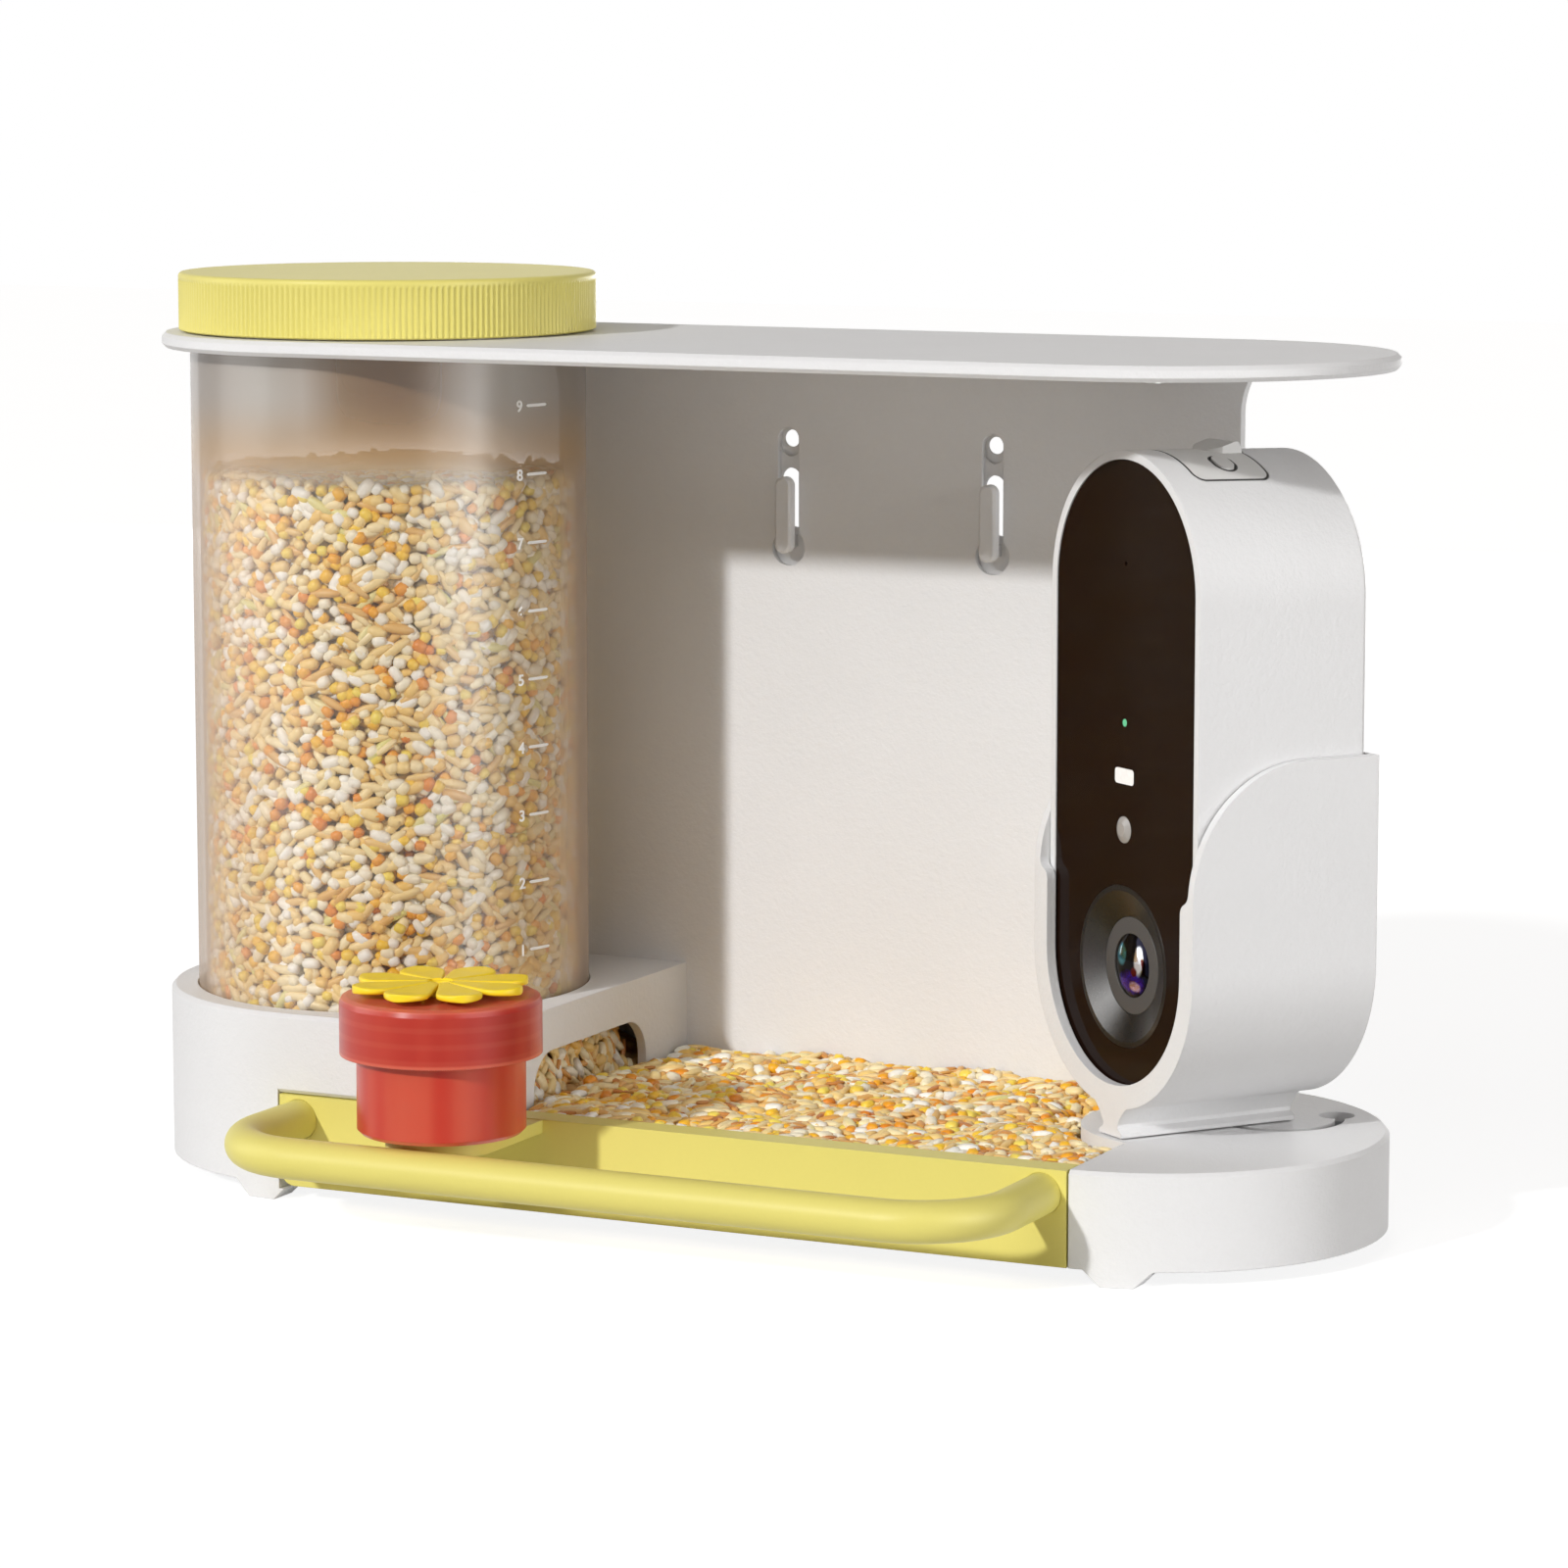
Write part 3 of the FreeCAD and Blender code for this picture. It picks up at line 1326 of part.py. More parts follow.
def dome_shell(label, inner, outer):
    """A tube along the camera's depth, concentric with its round top."""
    tube = Piece(label)
    fallen = dome_axis - size.housing_fall
    for kind, radius in (("Additive", outer), ("Subtractive", inner)):
        tube.loft(kind, [Disc(0, dome_axis, radius)], -rim_front, [Disc(0, fallen, radius)],
                  housing_back)
    return tube


def button_outlines(gap):
    """The two oval buttons in plan, grown by a gap."""
    half = size.button_wide / 2 + gap
    r = size.button_deep / 2 + gap
    return [oval(side * size.button_out, -size.button_at, half - r, r) for side in (-1, 1)]


def oval(x, y, half, r):
    """A small obround about a point."""
    return [
        at(x - half, y - r),
        bend(x + half, y - r, r),
        bend(x + half + r, y, r),
        at(x + half, y + r),
        bend(x - half, y + r, r),
        bend(x - half - r, y, r),
    ]


def make_housing():
    """Camera housing open at the front, with posts for the boards and a recess for the cover."""
    housing = Piece("camera_housing")
    bevel_y = housing_back - size.housing_bevel
    bevel_share = (size.housing_depth - size.housing_bevel) / size.housing_depth
    bevel_top = housing_top - size.housing_fall * bevel_share
    bevel_outline = [stadium(size.housing_half, housing_low, bevel_top)]
    housing.loft("Additive", [stadium(size.housing_half, housing_low, housing_top)], -rim_front,
                 bevel_outline, bevel_y)
    housing.loft("Additive", bevel_outline, bevel_y,
                 [stadium(size.housing_half - size.housing_bevel, housing_low + size.housing_bevel,
                          housing_top - size.housing_fall - size.housing_bevel)], housing_back)
    inset = size.rim_width - size.panel_fit
    housing.pocket([stadium(size.housing_half - inset, housing_low + inset, housing_top - inset)], XZ,
                   -rim_front - past, size.panel_sink + size.panel_thick + size.gasket_thick + past)
    housing.pocket([stadium(cavity_half, cavity_low, cavity_top)], XZ,
                   -rim_front - past, rim_front + cavity_back + past)
    posts = [Disc(side * post_out, z, size.post_radius) for side in (-1, 1) for z in post_levels()]
    housing.pad(posts, XZ, board_back, cavity_back - board_back + past)
    well = size.housing_wall + size.button_well
    housing.pocket(button_outlines(size.button_gap), XY, housing_top - well, well + past)
    half = size.usb_width / 2 + size.bench_gap
    deep = size.usb_deep / 2 + size.bench_gap
    housing.pocket([rect(-half, -size.button_at - deep, half, -size.button_at + deep)], XY, housing_top - well,
                   well + past)
    skin = dome_shell("recess_shell", size.housing_half - size.cover_thick, size.housing_half + past)
    recess = boolean("Common", "recess", cover_prism("recess_block", 0).body, skin.body)
    cut = boolean("Cut", "camera_housing", housing.body, recess)
    finish_camera(cut, "camera_housing")


def post_levels():
    """Heights of the posts that carry the main board."""
    return (board_low + size.post_inset, board_high - size.post_inset)


def make_cover():
    """Rubber port cover that follows the round top, with button openings and a finger tab."""
    inner = size.housing_half - size.cover_thick + size.camera_fit / 3
    skin = dome_shell("cover_shell", inner, size.housing_half)
    block = cover_prism("cover_block", size.cover_fit)
    curved = boolean("Common", "cover", block.body, skin.body)
    openings = Piece("cover_openings")
    openings.pad(button_outlines(size.button_gap), XY, dome_axis, size.housing_half * 2)
    pierced = boolean("Cut", "cover", curved, openings.body)
    back = -size.cover_from - size.cover_fit
    low = housing_top - size.cover_thick - size.housing_fall
    wedge = Piece("tab_wedge")
    wedge.pad([[
        at(back - size.tab_long, low),
        at(back, low),
        at(back, housing_top - size.housing_fall),
        at(back - size.tab_crest, housing_top + size.tab_rise - size.housing_fall),
        at(back - size.tab_crest * 2, housing_top + size.tab_rise - size.housing_fall),
        at(back - size.tab_long, housing_top - size.housing_fall / 2),
    ]], YZ, -size.tab_half, size.tab_half * 2)
    plan = Piece("tab_plan")
    reach = size.tab_long - size.tab_side
    nose = (size.tab_half * size.tab_half + reach * reach) / (reach * 2)
    plan.pad([[
        at(size.tab_half, back),
        at(-size.tab_half, back),
        bend(-size.tab_half, back - size.tab_side, nose),
        bend(0, back - size.tab_long, nose),
        at(size.tab_half, back - size.tab_side),
    ]], XY, dome_axis, size.housing_half * 2)
    raised = boolean("Common", "tab", wedge.body, plan.body)
    outside = dome_shell("tab_floor", size.housing_half - size.cover_thick / 2, size.housing_half * 2)
    tab = boolean("Common", "tab_trimmed", raised, outside.body)
    whole = boolean("Fuse", "top_cover", pierced, tab)
    finish_camera(whole, "top_cover")


def make_button(label, side):
    """Oval push button standing slightly above the cover."""
    x = side * size.button_out
    half = size.button_wide / 2
    r = size.button_deep / 2
    block = Piece(f"{label}_block")
    block.pad([oval(x, -size.button_at, half - r, r)], XY, dome_axis, size.housing_half * 2)
    skin = dome_shell(f"{label}_shell", size.housing_half - size.housing_wall - size.camera_fit,
                      size.housing_half + size.button_proud)
    finish_camera(boolean("Common", label, block.body, skin.body), label)


def make_panel():
    """Dark front with its openings, the gasket behind it and the parts set in it."""
    low = housing_low + size.rim_width
    high = housing_top - size.rim_width
    fit = size.panel_fit
    panel = Piece("front_panel")
    light = rounded(-size.light_width / 2, light_z - size.light_height / 2, size.light_width / 2,
                    light_z + size.light_height / 2, size.light_height / 4)
    panel.pad([
        stadium(panel_half, low, high),
        Disc(0, lens_z, size.bezel_radius + fit),
        Disc(0, sensor_z, size.sensor_radius + fit),
        rounded(-size.light_width / 2 - fit, light_z - size.light_height / 2 - fit,
                size.light_width / 2 + fit, light_z + size.light_height / 2 + fit, size.light_height / 4),
        Disc(0, status_z, size.status_radius + fit),
        Disc(0, mic_z, size.mic_radius),
    ], XZ, -panel_front, size.panel_thick)
    finish_camera(panel.body, "front_panel")
    gasket = Piece("panel_gasket")
    ring = size.rim_width / 2
    gasket.pad([stadium(panel_half, low, high),
                stadium(panel_half - ring, low + ring, high - ring)], XZ, -panel_back, size.gasket_thick)
    finish_camera(gasket.body, "panel_gasket")
    window = Piece("light_window")
    window.pad([light], XZ, -panel_front, size.panel_thick)
    finish_camera(window.body, "light_window")
    status = Piece("status_light")
    status.pad([Disc(0, status_z, size.status_radius)], XZ, -panel_front, size.panel_thick * 2)
    finish_camera(status.body, "status_light")
    sensor = Piece("motion_sensor")
    can = size.sensor_radius + size.sensor_rim
    sensor_dome = size.sensor_radius / 4
    sensor.spun([[
        at(-panel_front - sensor_dome, 0),
        at(-panel_back + size.panel_thick * 2, 0),
        at(-panel_back + size.panel_thick * 2, can),
        at(-panel_back + fit, can),
        at(-panel_back + fit, size.sensor_radius),
        at(-panel_front, size.sensor_radius),
        at(-panel_front - sensor_dome, size.sensor_radius / 2),
    ]], sensor_z)
    finish_camera(sensor.body, "motion_sensor")
    mic = Piece("microphone")
    mic.pad([Disc(0, mic_z, size.mic_can)], XZ, -panel_back + fit, size.panel_thick * 2)
    finish_camera(mic.body, "microphone")


def make_lens():
    """Conical bezel, flat ring, domed glass and the barrel behind them."""
    inner_front = -panel_front + size.bezel_depth
    bezel = Piece("lens_bezel")
    bezel.spun([[
        at(-panel_front, size.bezel_radius),
        at(-panel_front, size.bezel_radius - size.bezel_thick),
        at(inner_front, size.ring_radius),
        at(inner_front + size.bezel_thick * 2, size.ring_radius),
        at(inner_front + size.bezel_thick * 2, size.ring_radius + size.bezel_thick),
        at(inner_front + size.bezel_thick / 2, size.ring_radius + size.bezel_thick),
        at(-panel_front + size.bezel_thick, size.bezel_radius),
    ]], lens_z)
    finish_camera(bezel.body, "lens_bezel")
    ring = Piece("lens_ring")
    ring.spun([rect(inner_front, size.glass_radius + size.panel_fit, inner_front + size.bezel_thick,
                    size.ring_radius - size.panel_fit)], lens_z)
    finish_camera(ring.body, "lens_ring")
    glass = Piece("lens_glass")
    glass.spun([[
        at(inner_front - size.glass_dome / 2, 0),
        at(inner_front + size.bezel_thick, 0),
        at(inner_front + size.bezel_thick, size.glass_radius),
        at(inner_front + size.glass_dome / 2, size.glass_radius),
        at(inner_front - size.glass_dome / 4, size.glass_radius / 2),
    ]], lens_z)
    finish_camera(glass.body, "lens_glass")
    barrel_front = inner_front + size.bezel_thick + size.panel_fit
    chip_back = board_front - size.panel_fit
    barrel = Piece("lens_barrel")
    barrel_back = chip_back - size.board_thick - size.panel_fit
    barrel.spun([rect(barrel_front, 0, barrel_back, size.barrel_radius)], lens_z)
    finish_camera(barrel.body, "lens_barrel")
    chip = Piece("sensor_board")
    half = size.barrel_radius + size.chip_margin
    chip.pad([rect(-half, lens_z - half, half, lens_z + half)], XZ, chip_back - size.board_thick,
             size.board_thick)
    finish_camera(chip.body, "sensor_board")


def make_inside():
    """Main board, cells, speaker and the charging socket under the cover."""
    board = Piece("main_board")
    board.pad([rect(-board_half, board_low, board_half, board_high)], XZ, board_front, size.board_thick)
    finish_camera(board.body, "main_board")
    cells = Piece("battery_cells")
    middle = (board_low + board_high) / 2
    for side in (-1, 1):
        out = side * (size.cell_radius + size.camera_fit)
        cell = Disc(out, cell_back - size.cell_radius, size.cell_radius)
        cells.pad([cell], XY, middle - size.cell_length / 2, size.cell_length)
    finish_camera(cells.body, "battery_cells")
    speaker = Piece("speaker")
    speaker.pad([Disc(0, status_z + size.speaker_above, size.speaker_radius)], XZ,
                board_front - size.panel_fit - size.speaker_thick, size.speaker_thick)
    finish_camera(speaker.body, "speaker")
    socket = Piece("usb_socket")
    top = housing_top - size.cover_thick - size.usb_sink
    socket.pad([rounded(-size.usb_width / 2, -size.button_at - size.usb_deep / 2, size.usb_width / 2,
                        -size.button_at + size.usb_deep / 2, size.usb_deep / 3)], XY, top - size.usb_tall,
               size.usb_tall)
    half = size.usb_width / 2 - size.usb_wall
    deep = size.usb_deep / 2 - size.usb_wall
    inside = rounded(-half, -size.button_at - deep, half, -size.button_at + deep, size.usb_deep / 4)
    socket.pocket([inside], XY, top - size.usb_tall + past, size.usb_tall)
    finish_camera(socket.body, "usb_socket")


make_base()
make_chute()
make_throat_seed()
make_back_plate()
for lock_name, lock_x in zip(("lock_left", "lock_right"), key_places()):
    make_lock(lock_name, lock_x)
make_roof()
make_screws()
make_hopper()
make_cap()
make_tray()
make_perch()
make_cup()
make_cradle()
make_housing()
make_cover()
make_button("power_button", 1)
make_button("reset_button", -1)
make_panel()
make_lens()
make_inside()
doc.recompute()

for item in doc.Objects:
    if "Invalid" in item.State or "Error" in item.State:
        raise RuntimeError(f"{item.Name} failed: {item.State}")

os.makedirs("parts", exist_ok=True)
for item in finished:
    if item.Shape.isNull() or not item.Shape.isValid():
        raise RuntimeError(f"{item.Label} has no valid shape")
    item.Shape.exportStep(os.path.join("parts", f"{item.Label}.step"))
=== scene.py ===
import json
import logging
import math
from dataclasses import dataclass, field
from enum import Enum
from typing import Any, Callable, Optional, Sequence, Union

import bpy
import numpy as np
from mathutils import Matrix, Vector


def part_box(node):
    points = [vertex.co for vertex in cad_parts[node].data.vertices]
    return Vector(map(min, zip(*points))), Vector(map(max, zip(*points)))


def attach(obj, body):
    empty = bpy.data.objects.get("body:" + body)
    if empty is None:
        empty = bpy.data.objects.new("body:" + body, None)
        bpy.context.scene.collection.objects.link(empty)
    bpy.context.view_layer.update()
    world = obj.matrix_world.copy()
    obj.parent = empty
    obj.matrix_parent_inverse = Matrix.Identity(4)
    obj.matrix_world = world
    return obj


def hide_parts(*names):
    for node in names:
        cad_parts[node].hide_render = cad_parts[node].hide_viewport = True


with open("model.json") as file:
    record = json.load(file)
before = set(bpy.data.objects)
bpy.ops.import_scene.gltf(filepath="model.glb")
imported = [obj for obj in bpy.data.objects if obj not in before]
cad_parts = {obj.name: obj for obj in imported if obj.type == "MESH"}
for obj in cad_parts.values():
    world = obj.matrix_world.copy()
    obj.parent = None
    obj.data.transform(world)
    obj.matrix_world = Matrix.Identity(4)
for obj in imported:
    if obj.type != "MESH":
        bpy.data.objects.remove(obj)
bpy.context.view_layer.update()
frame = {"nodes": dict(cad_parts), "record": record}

MM = 0.001
FULL_TURN = 2.0 * math.pi
QUARTER_TURN = math.pi / 2.0
X_AXIS = (1.0, 0.0, 0.0)
Y_AXIS = (0.0, 1.0, 0.0)
Z_AXIS = (0.0, 0.0, 1.0)
WHITE = (1.0, 1.0, 1.0)
RUBBER_WHITE = (0.72, 0.715, 0.70)
FINE_RIPPLE = 2600.0
GRAIN_TONE = "grain_tone"
GRAIN_END = "grain_end"
NO_QUADS = np.zeros((0, 4), int)
NO_TRIS = np.zeros((0, 3), int)
NO_CREASE = 180.0

Place = tuple[float, float, float]
Colour = tuple[float, float, float]
Stops = Sequence[tuple[float, Colour]]
Sockets = dict[Union[str, int], Any]
Value = Union["Wire", float]
Layer = Sequence[np.ndarray]

log = logging.getLogger("feeder")


class Wire:
    """A shader output that takes part in sums and products by adding Math nodes."""

    def __init__(self, paint: "Paint", socket: Optional[bpy.types.NodeSocket]) -> None:
        """Keep the socket and the node tree it belongs to."""
        self.paint = paint
        self.socket = socket

    def __add__(self, other: Value) -> "Wire":
        """Sum."""
        return self.paint.math("ADD", self, other)

    __radd__ = __add__

    def __sub__(self, other: Value) -> "Wire":
        """Difference."""
        return self.paint.math("SUBTRACT", self, other)

    def __rsub__(self, other: Value) -> "Wire":
        """Difference with this value taken away."""
        return self.paint.math("SUBTRACT", other, self)

    def __mul__(self, other: Value) -> "Wire":
        """Product."""
        return self.paint.math("MULTIPLY", self, other)

    __rmul__ = __mul__

    def __pow__(self, other: Value) -> "Wire":
        """Power."""
        return self.paint.math("POWER", self, other)


class Paint:
    """The node tree of one material or of the world."""

    def __init__(self, tree: bpy.types.NodeTree) -> None:
        """Start from an empty tree."""
        self.tree = tree
        self.tree.nodes.clear()

    def add(self, kind: str, settings: Optional[dict[str, Any]] = None, sockets: Optional[Sockets] = None,
            output: Union[str, int] = 0) -> Wire:
        """Add one node.

        Args:
            kind: Blender's type name of the node.
            settings: properties set before the sockets; "stops" fills a colour ramp.
            sockets: values or wires for the input sockets, by name or place; None leaves a socket alone.
            output: the output that is returned.

        Returns:
            The chosen output as a wire.
        """
        node = self.tree.nodes.new(kind)
        for name, value in (settings or {}).items():
            if name == "stops":
                self.fill_ramp(node.color_ramp, value)
            else:
                setattr(node, name, value)
        for name, value in (sockets or {}).items():
            socket = node.inputs[name]
            if isinstance(value, Wire):
                self.tree.links.new(value.socket, socket)
            elif isinstance(value, tuple) and socket.type == "RGBA":
                socket.default_value = (*value, 1.0)
            elif value is not None:
                socket.default_value = value
        return Wire(self, node.outputs[output] if len(node.outputs) else None)

    def fill_ramp(self, ramp: bpy.types.ColorRamp, stops: Stops) -> None:
        """Set the stops of a colour ramp.

        Args:
            ramp: the node's ramp.
            stops: place and colour of each stop.
        """
        while len(ramp.elements) < len(stops):
            ramp.elements.new(1.0)
        for element, (place, colour) in zip(ramp.elements, stops):
            element.position = place
            element.color = (*colour, 1.0)

    def math(self, operation: str, first: Value, second: Value = 0.0) -> Wire:
        """One Math node over one or two values."""
        return self.add("ShaderNodeMath", {"operation": operation}, {0: first, 1: second})

    def place(self, scale: Place = (1.0, 1.0, 1.0), turn: float = 0.0,
              shift: Place = (0.0, 0.0, 0.0)) -> Wire:
        """Object coordinates, stretched, turned about Z and shifted."""
        spot = self.add("ShaderNodeTexCoord", output="Object")
        return self.add("ShaderNodeMapping", None,
                        {"Vector": spot, "Scale": scale, "Rotation": (0.0, 0.0, turn), "Location": shift})

    def axes(self, vector: Wire) -> tuple[Wire, Wire, Wire]:
        """The three parts of a vector."""
        sockets = {"Vector": vector}
        return tuple(self.add("ShaderNodeSeparateXYZ", None, sockets, output=name) for name in "XYZ")

    def height(self) -> Wire:
        """Height of a point in the frame."""
        return self.axes(self.place())[2]

    def mounted(self, mount: "Mount") -> tuple[Wire, Wire, Wire]:
        """Object coordinates in the turned frame of the camera.

        Args:
            mount: where the camera stands.

        Returns:
            The three distances from the pivot, along the camera's own axes.
        """
        turn = -math.radians(mount.turn)
        c, s = math.cos(turn), math.sin(turn)
        x, y = mount.pivot
        return self.axes(self.place(turn=turn, shift=(s * y - c * x, -s * x - c * y, 0.0)))

    def slant(self, blend: float) -> Wire:
        """How far a surface turns away from the view, from 0 to 1."""
        return self.add("ShaderNodeLayerWeight", None, {"Blend": blend}, output="Facing")

    def seen(self) -> Wire:
        """Share of rays that show the backdrop itself: camera, mirror and see-through rays.

        Returns:
            One for such a ray and zero for any other.
        """
        rays = ("Camera", "Glossy", "Transmission")
        camera, mirror, through = (self.add("ShaderNodeLightPath", output=f"Is {ray} Ray") for ray in rays)
        return self.math("MINIMUM", camera + mirror + through, 1.0)

    def mark(self, name: str) -> Wire:
        """Value of a piece's own attribute."""
        return self.add("ShaderNodeAttribute", {"attribute_name": name}, output="Fac")

    def noise(self, vector: Wire, scale: float, detail: float = 2.0, rough: float = 0.5) -> Wire:
        """Smooth noise between 0 and 1."""
        return self.add("ShaderNodeTexNoise", None,
                        {"Vector": vector, "Scale": scale, "Detail": detail, "Roughness": rough})

    def mix(self, first: Union[Wire, Colour], second: Union[Wire, Colour], share: Value) -> Wire:
        """Blend two colours by a share."""
        return self.add("ShaderNodeMix", {"data_type": "RGBA"}, {0: share, 6: first, 7: second}, output=2)

    def ramp(self, value: Wire, stops: Stops) -> Wire:
        """Turn a value into a colour through a ramp."""
        return self.add("ShaderNodeValToRGB", {"stops": stops}, {"Fac": value})

    def step(self, value: Wire, low: float, high: float) -> Wire:
        """Smooth step from 0 to 1 between two values."""
        return self.add("ShaderNodeMapRange", {"interpolation_type": "SMOOTHSTEP"},
                        {"Value": value, "From Min": low, "From Max": high})

    def bump(self, height: Wire, distance: float, normal: Optional[Wire] = None) -> Wire:
        """Normal of a surface raised by a height map, on top of another normal where one is given."""
        sockets = {"Height": height, "Distance": distance, "Strength": 1.0, "Normal": normal}
        return self.add("ShaderNodeBump", None, sockets)

    def soft_edge(self, radius: float) -> Wire:
        """Normal that rounds sharp edges by a radius."""
        return self.add("ShaderNodeBevel", {"samples": 4}, {"Radius": radius})

    def matt(self, colour: Wire) -> Wire:
        """Matt surface of a colour, without gloss."""
        return self.add("ShaderNodeBsdfPrincipled", None, {"Base Color": colour, "Specular IOR Level": 0.0})

    def blend(self, share: Value, first: Wire, second: Wire) -> Wire:
        """Blend two surfaces by a share."""
        return self.add("ShaderNodeMixShader", None, {0: share, 1: first, 2: second})

    def output(self, shader: Wire, kind: str = "ShaderNodeOutputMaterial") -> None:
        """Link the finished shader to the surface."""
        self.add(kind, None, {"Surface": shader})

    def coat(self, sockets: Sockets) -> None:
        """Make the surface from the sockets of one principled shader."""
        self.output(self.add("ShaderNodeBsdfPrincipled", None, sockets))


def shaded(colour: Colour, factor: float) -> Colour:
    """A colour made darker or lighter by a factor, no brighter than white."""
    return tuple(min(1.0, channel * factor) for channel in colour)


def toned(*stops: tuple[float, float], tint: Colour = WHITE) -> Stops:
    """Ramp stops in tones of one tint, from pairs of place and tone."""
    return tuple((place, shaded(tint, tone)) for place, tone in stops)


@dataclass(frozen=True)
class Mount:
    """Where the camera stands: its turn about an upright pivot, in degrees."""

    turn: float = -36.0
    pivot: tuple[float, float] = (129.2 * MM, 46.0 * MM)


@dataclass(frozen=True)
class Finish:
    """A named material whose nodes each kind of finish lays out in its own way."""

    name: str

    def lay(self, paint: Paint) -> None:
        """Lay out the nodes of the material."""
        raise NotImplementedError

    def material(self) -> bpy.types.Material:
        """Make the material.

        Returns:
            The material with its nodes.
        """
        material = bpy.data.materials.new(self.name)
        material.use_nodes = True
        self.lay(Paint(material.node_tree))
        return material


@dataclass(frozen=True)
class Moulded(Finish):
    """Moulded plastic or rubber: a colour with faint flow marks and a fine spark-eroded grain."""

    colour: Colour
    roughness: float
    grain: float = 0.7 * MM
    relief: float = 0.03 * MM
    mottle: float = 0.05
    edge: float = 0.35 * MM
    specular: float = 0.5
    flow: float = 38.0
    swing: float = 0.12
    coarse_scale: float = 0.45
    grain_mix: tuple[float, float] = (0.6, 0.8)
    tone_mix: tuple[float, float] = (0.6, 0.4)

    def lay(self, paint: Paint) -> None:
        """Lay out flow marks and a grain of two sizes.

        Args:
            paint: node tree of the material.
        """
        spot = paint.place()
        cloud = paint.noise(spot, self.flow, 3.0)
        coarse = paint.noise(spot, self.coarse_scale / self.grain) * self.grain_mix[1]
        fine = paint.noise(spot, 1.0 / self.grain, 3.0, 0.6) * self.grain_mix[0] + coarse
        deep = shaded(self.colour, 1.0 - self.mottle)
        pale = shaded(self.colour, 1.0 + self.mottle * 0.6)
        paint.coat({
            "Base Color": paint.mix(deep, pale, cloud * self.tone_mix[0] + fine * self.tone_mix[1]),
            "Roughness": self.roughness - self.swing / 2.0 + fine * self.swing,
            "Normal": paint.bump(fine, self.relief, paint.soft_edge(self.edge)),
            "Specular IOR Level": self.specular,
        })


@dataclass(frozen=True)
class FrostedTube(Finish):
    """Clear tube with a fine haze, thin and milky where seed lies against the wall and thick where the tube
    is empty, with a plain gloss over both. The haze's colour is painted light: painted highlight bands and
    tan painted shade toward the edges by the seed, brown-grey painted shade with lighter painted highlight
    bands where the tube is empty, and an orange-brown painted glow just above the seed. Its ramps run from a
    square to a grazing view."""

    fill: float
    # Haze colour by the seed: milky at a square view, a painted highlight band near slant 0.17, then tan
    # painted shade toward the edges.
    milk: Stops = (
        (0.0, (0.84, 0.74, 0.60)), (0.17, (0.88, 0.82, 0.76)), (0.26, (0.52, 0.37, 0.25)),
        (0.6, (0.62, 0.46, 0.33)), (1.0, (0.50, 0.38, 0.28)))
    # Haze colour of the empty tube: dark brown-grey painted shade in the middle, lighter painted highlight
    # bands, greyer painted shade toward the edges.
    shade: Stops = (
        (0.0, (0.24, 0.135, 0.065)), (0.03, (0.28, 0.18, 0.10)), (0.11, (0.52, 0.46, 0.40)),
        (0.22, (0.54, 0.50, 0.45)), (0.42, (0.44, 0.39, 0.34)), (1.0, (0.36, 0.31, 0.27)))
    veil: Stops = toned(
        (0.0, 0.0), (0.04, 0.015), (0.12, 0.07), (0.18, 0.10),
        (0.27, 0.16), (0.5, 0.27), (0.75, 0.50), (1.0, 0.75))
    # Orange-brown painted glow on the haze just above the seed, fading over the band below.
    warm: Colour = (0.58, 0.38, 0.19)
    warm_band: float = 22.0 * MM
    fade: tuple[float, float] = (-4.0 * MM, 7.0 * MM)
    empty_cover: float = 0.55
    streaks: float = 70.0
    streak_stretch: float = 0.12
    shade_wander: float = 0.03
    veil_wander: float = 0.05
    roughness: float = 0.28
    mirror: float = 0.035
    mirror_rise: float = 0.35

    def lay(self, paint: Paint) -> None:
        """Lay out the haze, coloured with painted shade, highlights and glow, over clear wall, and the gloss
        over both.

        Args:
            paint: node tree of the material.
        """
        height = paint.height()
        streak = paint.noise(paint.place((1.0, 1.0, self.streak_stretch)), self.streaks) - 0.5
        slant = paint.slant(0.5)
        empty = paint.step(height, self.fill + self.fade[0], self.fill + self.fade[1])
        clear = paint.step(height, self.fill, self.fill + self.warm_band)
        # Painted glow above the seed, fading into the painted shade and highlights of the empty tube.
        upper = paint.mix(self.warm, paint.ramp(slant + streak * self.shade_wander, self.shade), clear)
        haze = paint.matt(paint.mix(paint.ramp(slant, self.milk), upper, empty))
        cover = paint.ramp(slant, self.veil) + streak * self.veil_wander
        cover = cover + empty * (self.empty_cover - cover)
        body = paint.blend(cover, paint.add("ShaderNodeBsdfTransparent"), haze)
        gloss = paint.add("ShaderNodeBsdfGlossy", None, {"Roughness": self.roughness})
        paint.output(paint.blend(self.mirror + slant ** 4.0 * self.mirror_rise, body, gloss))


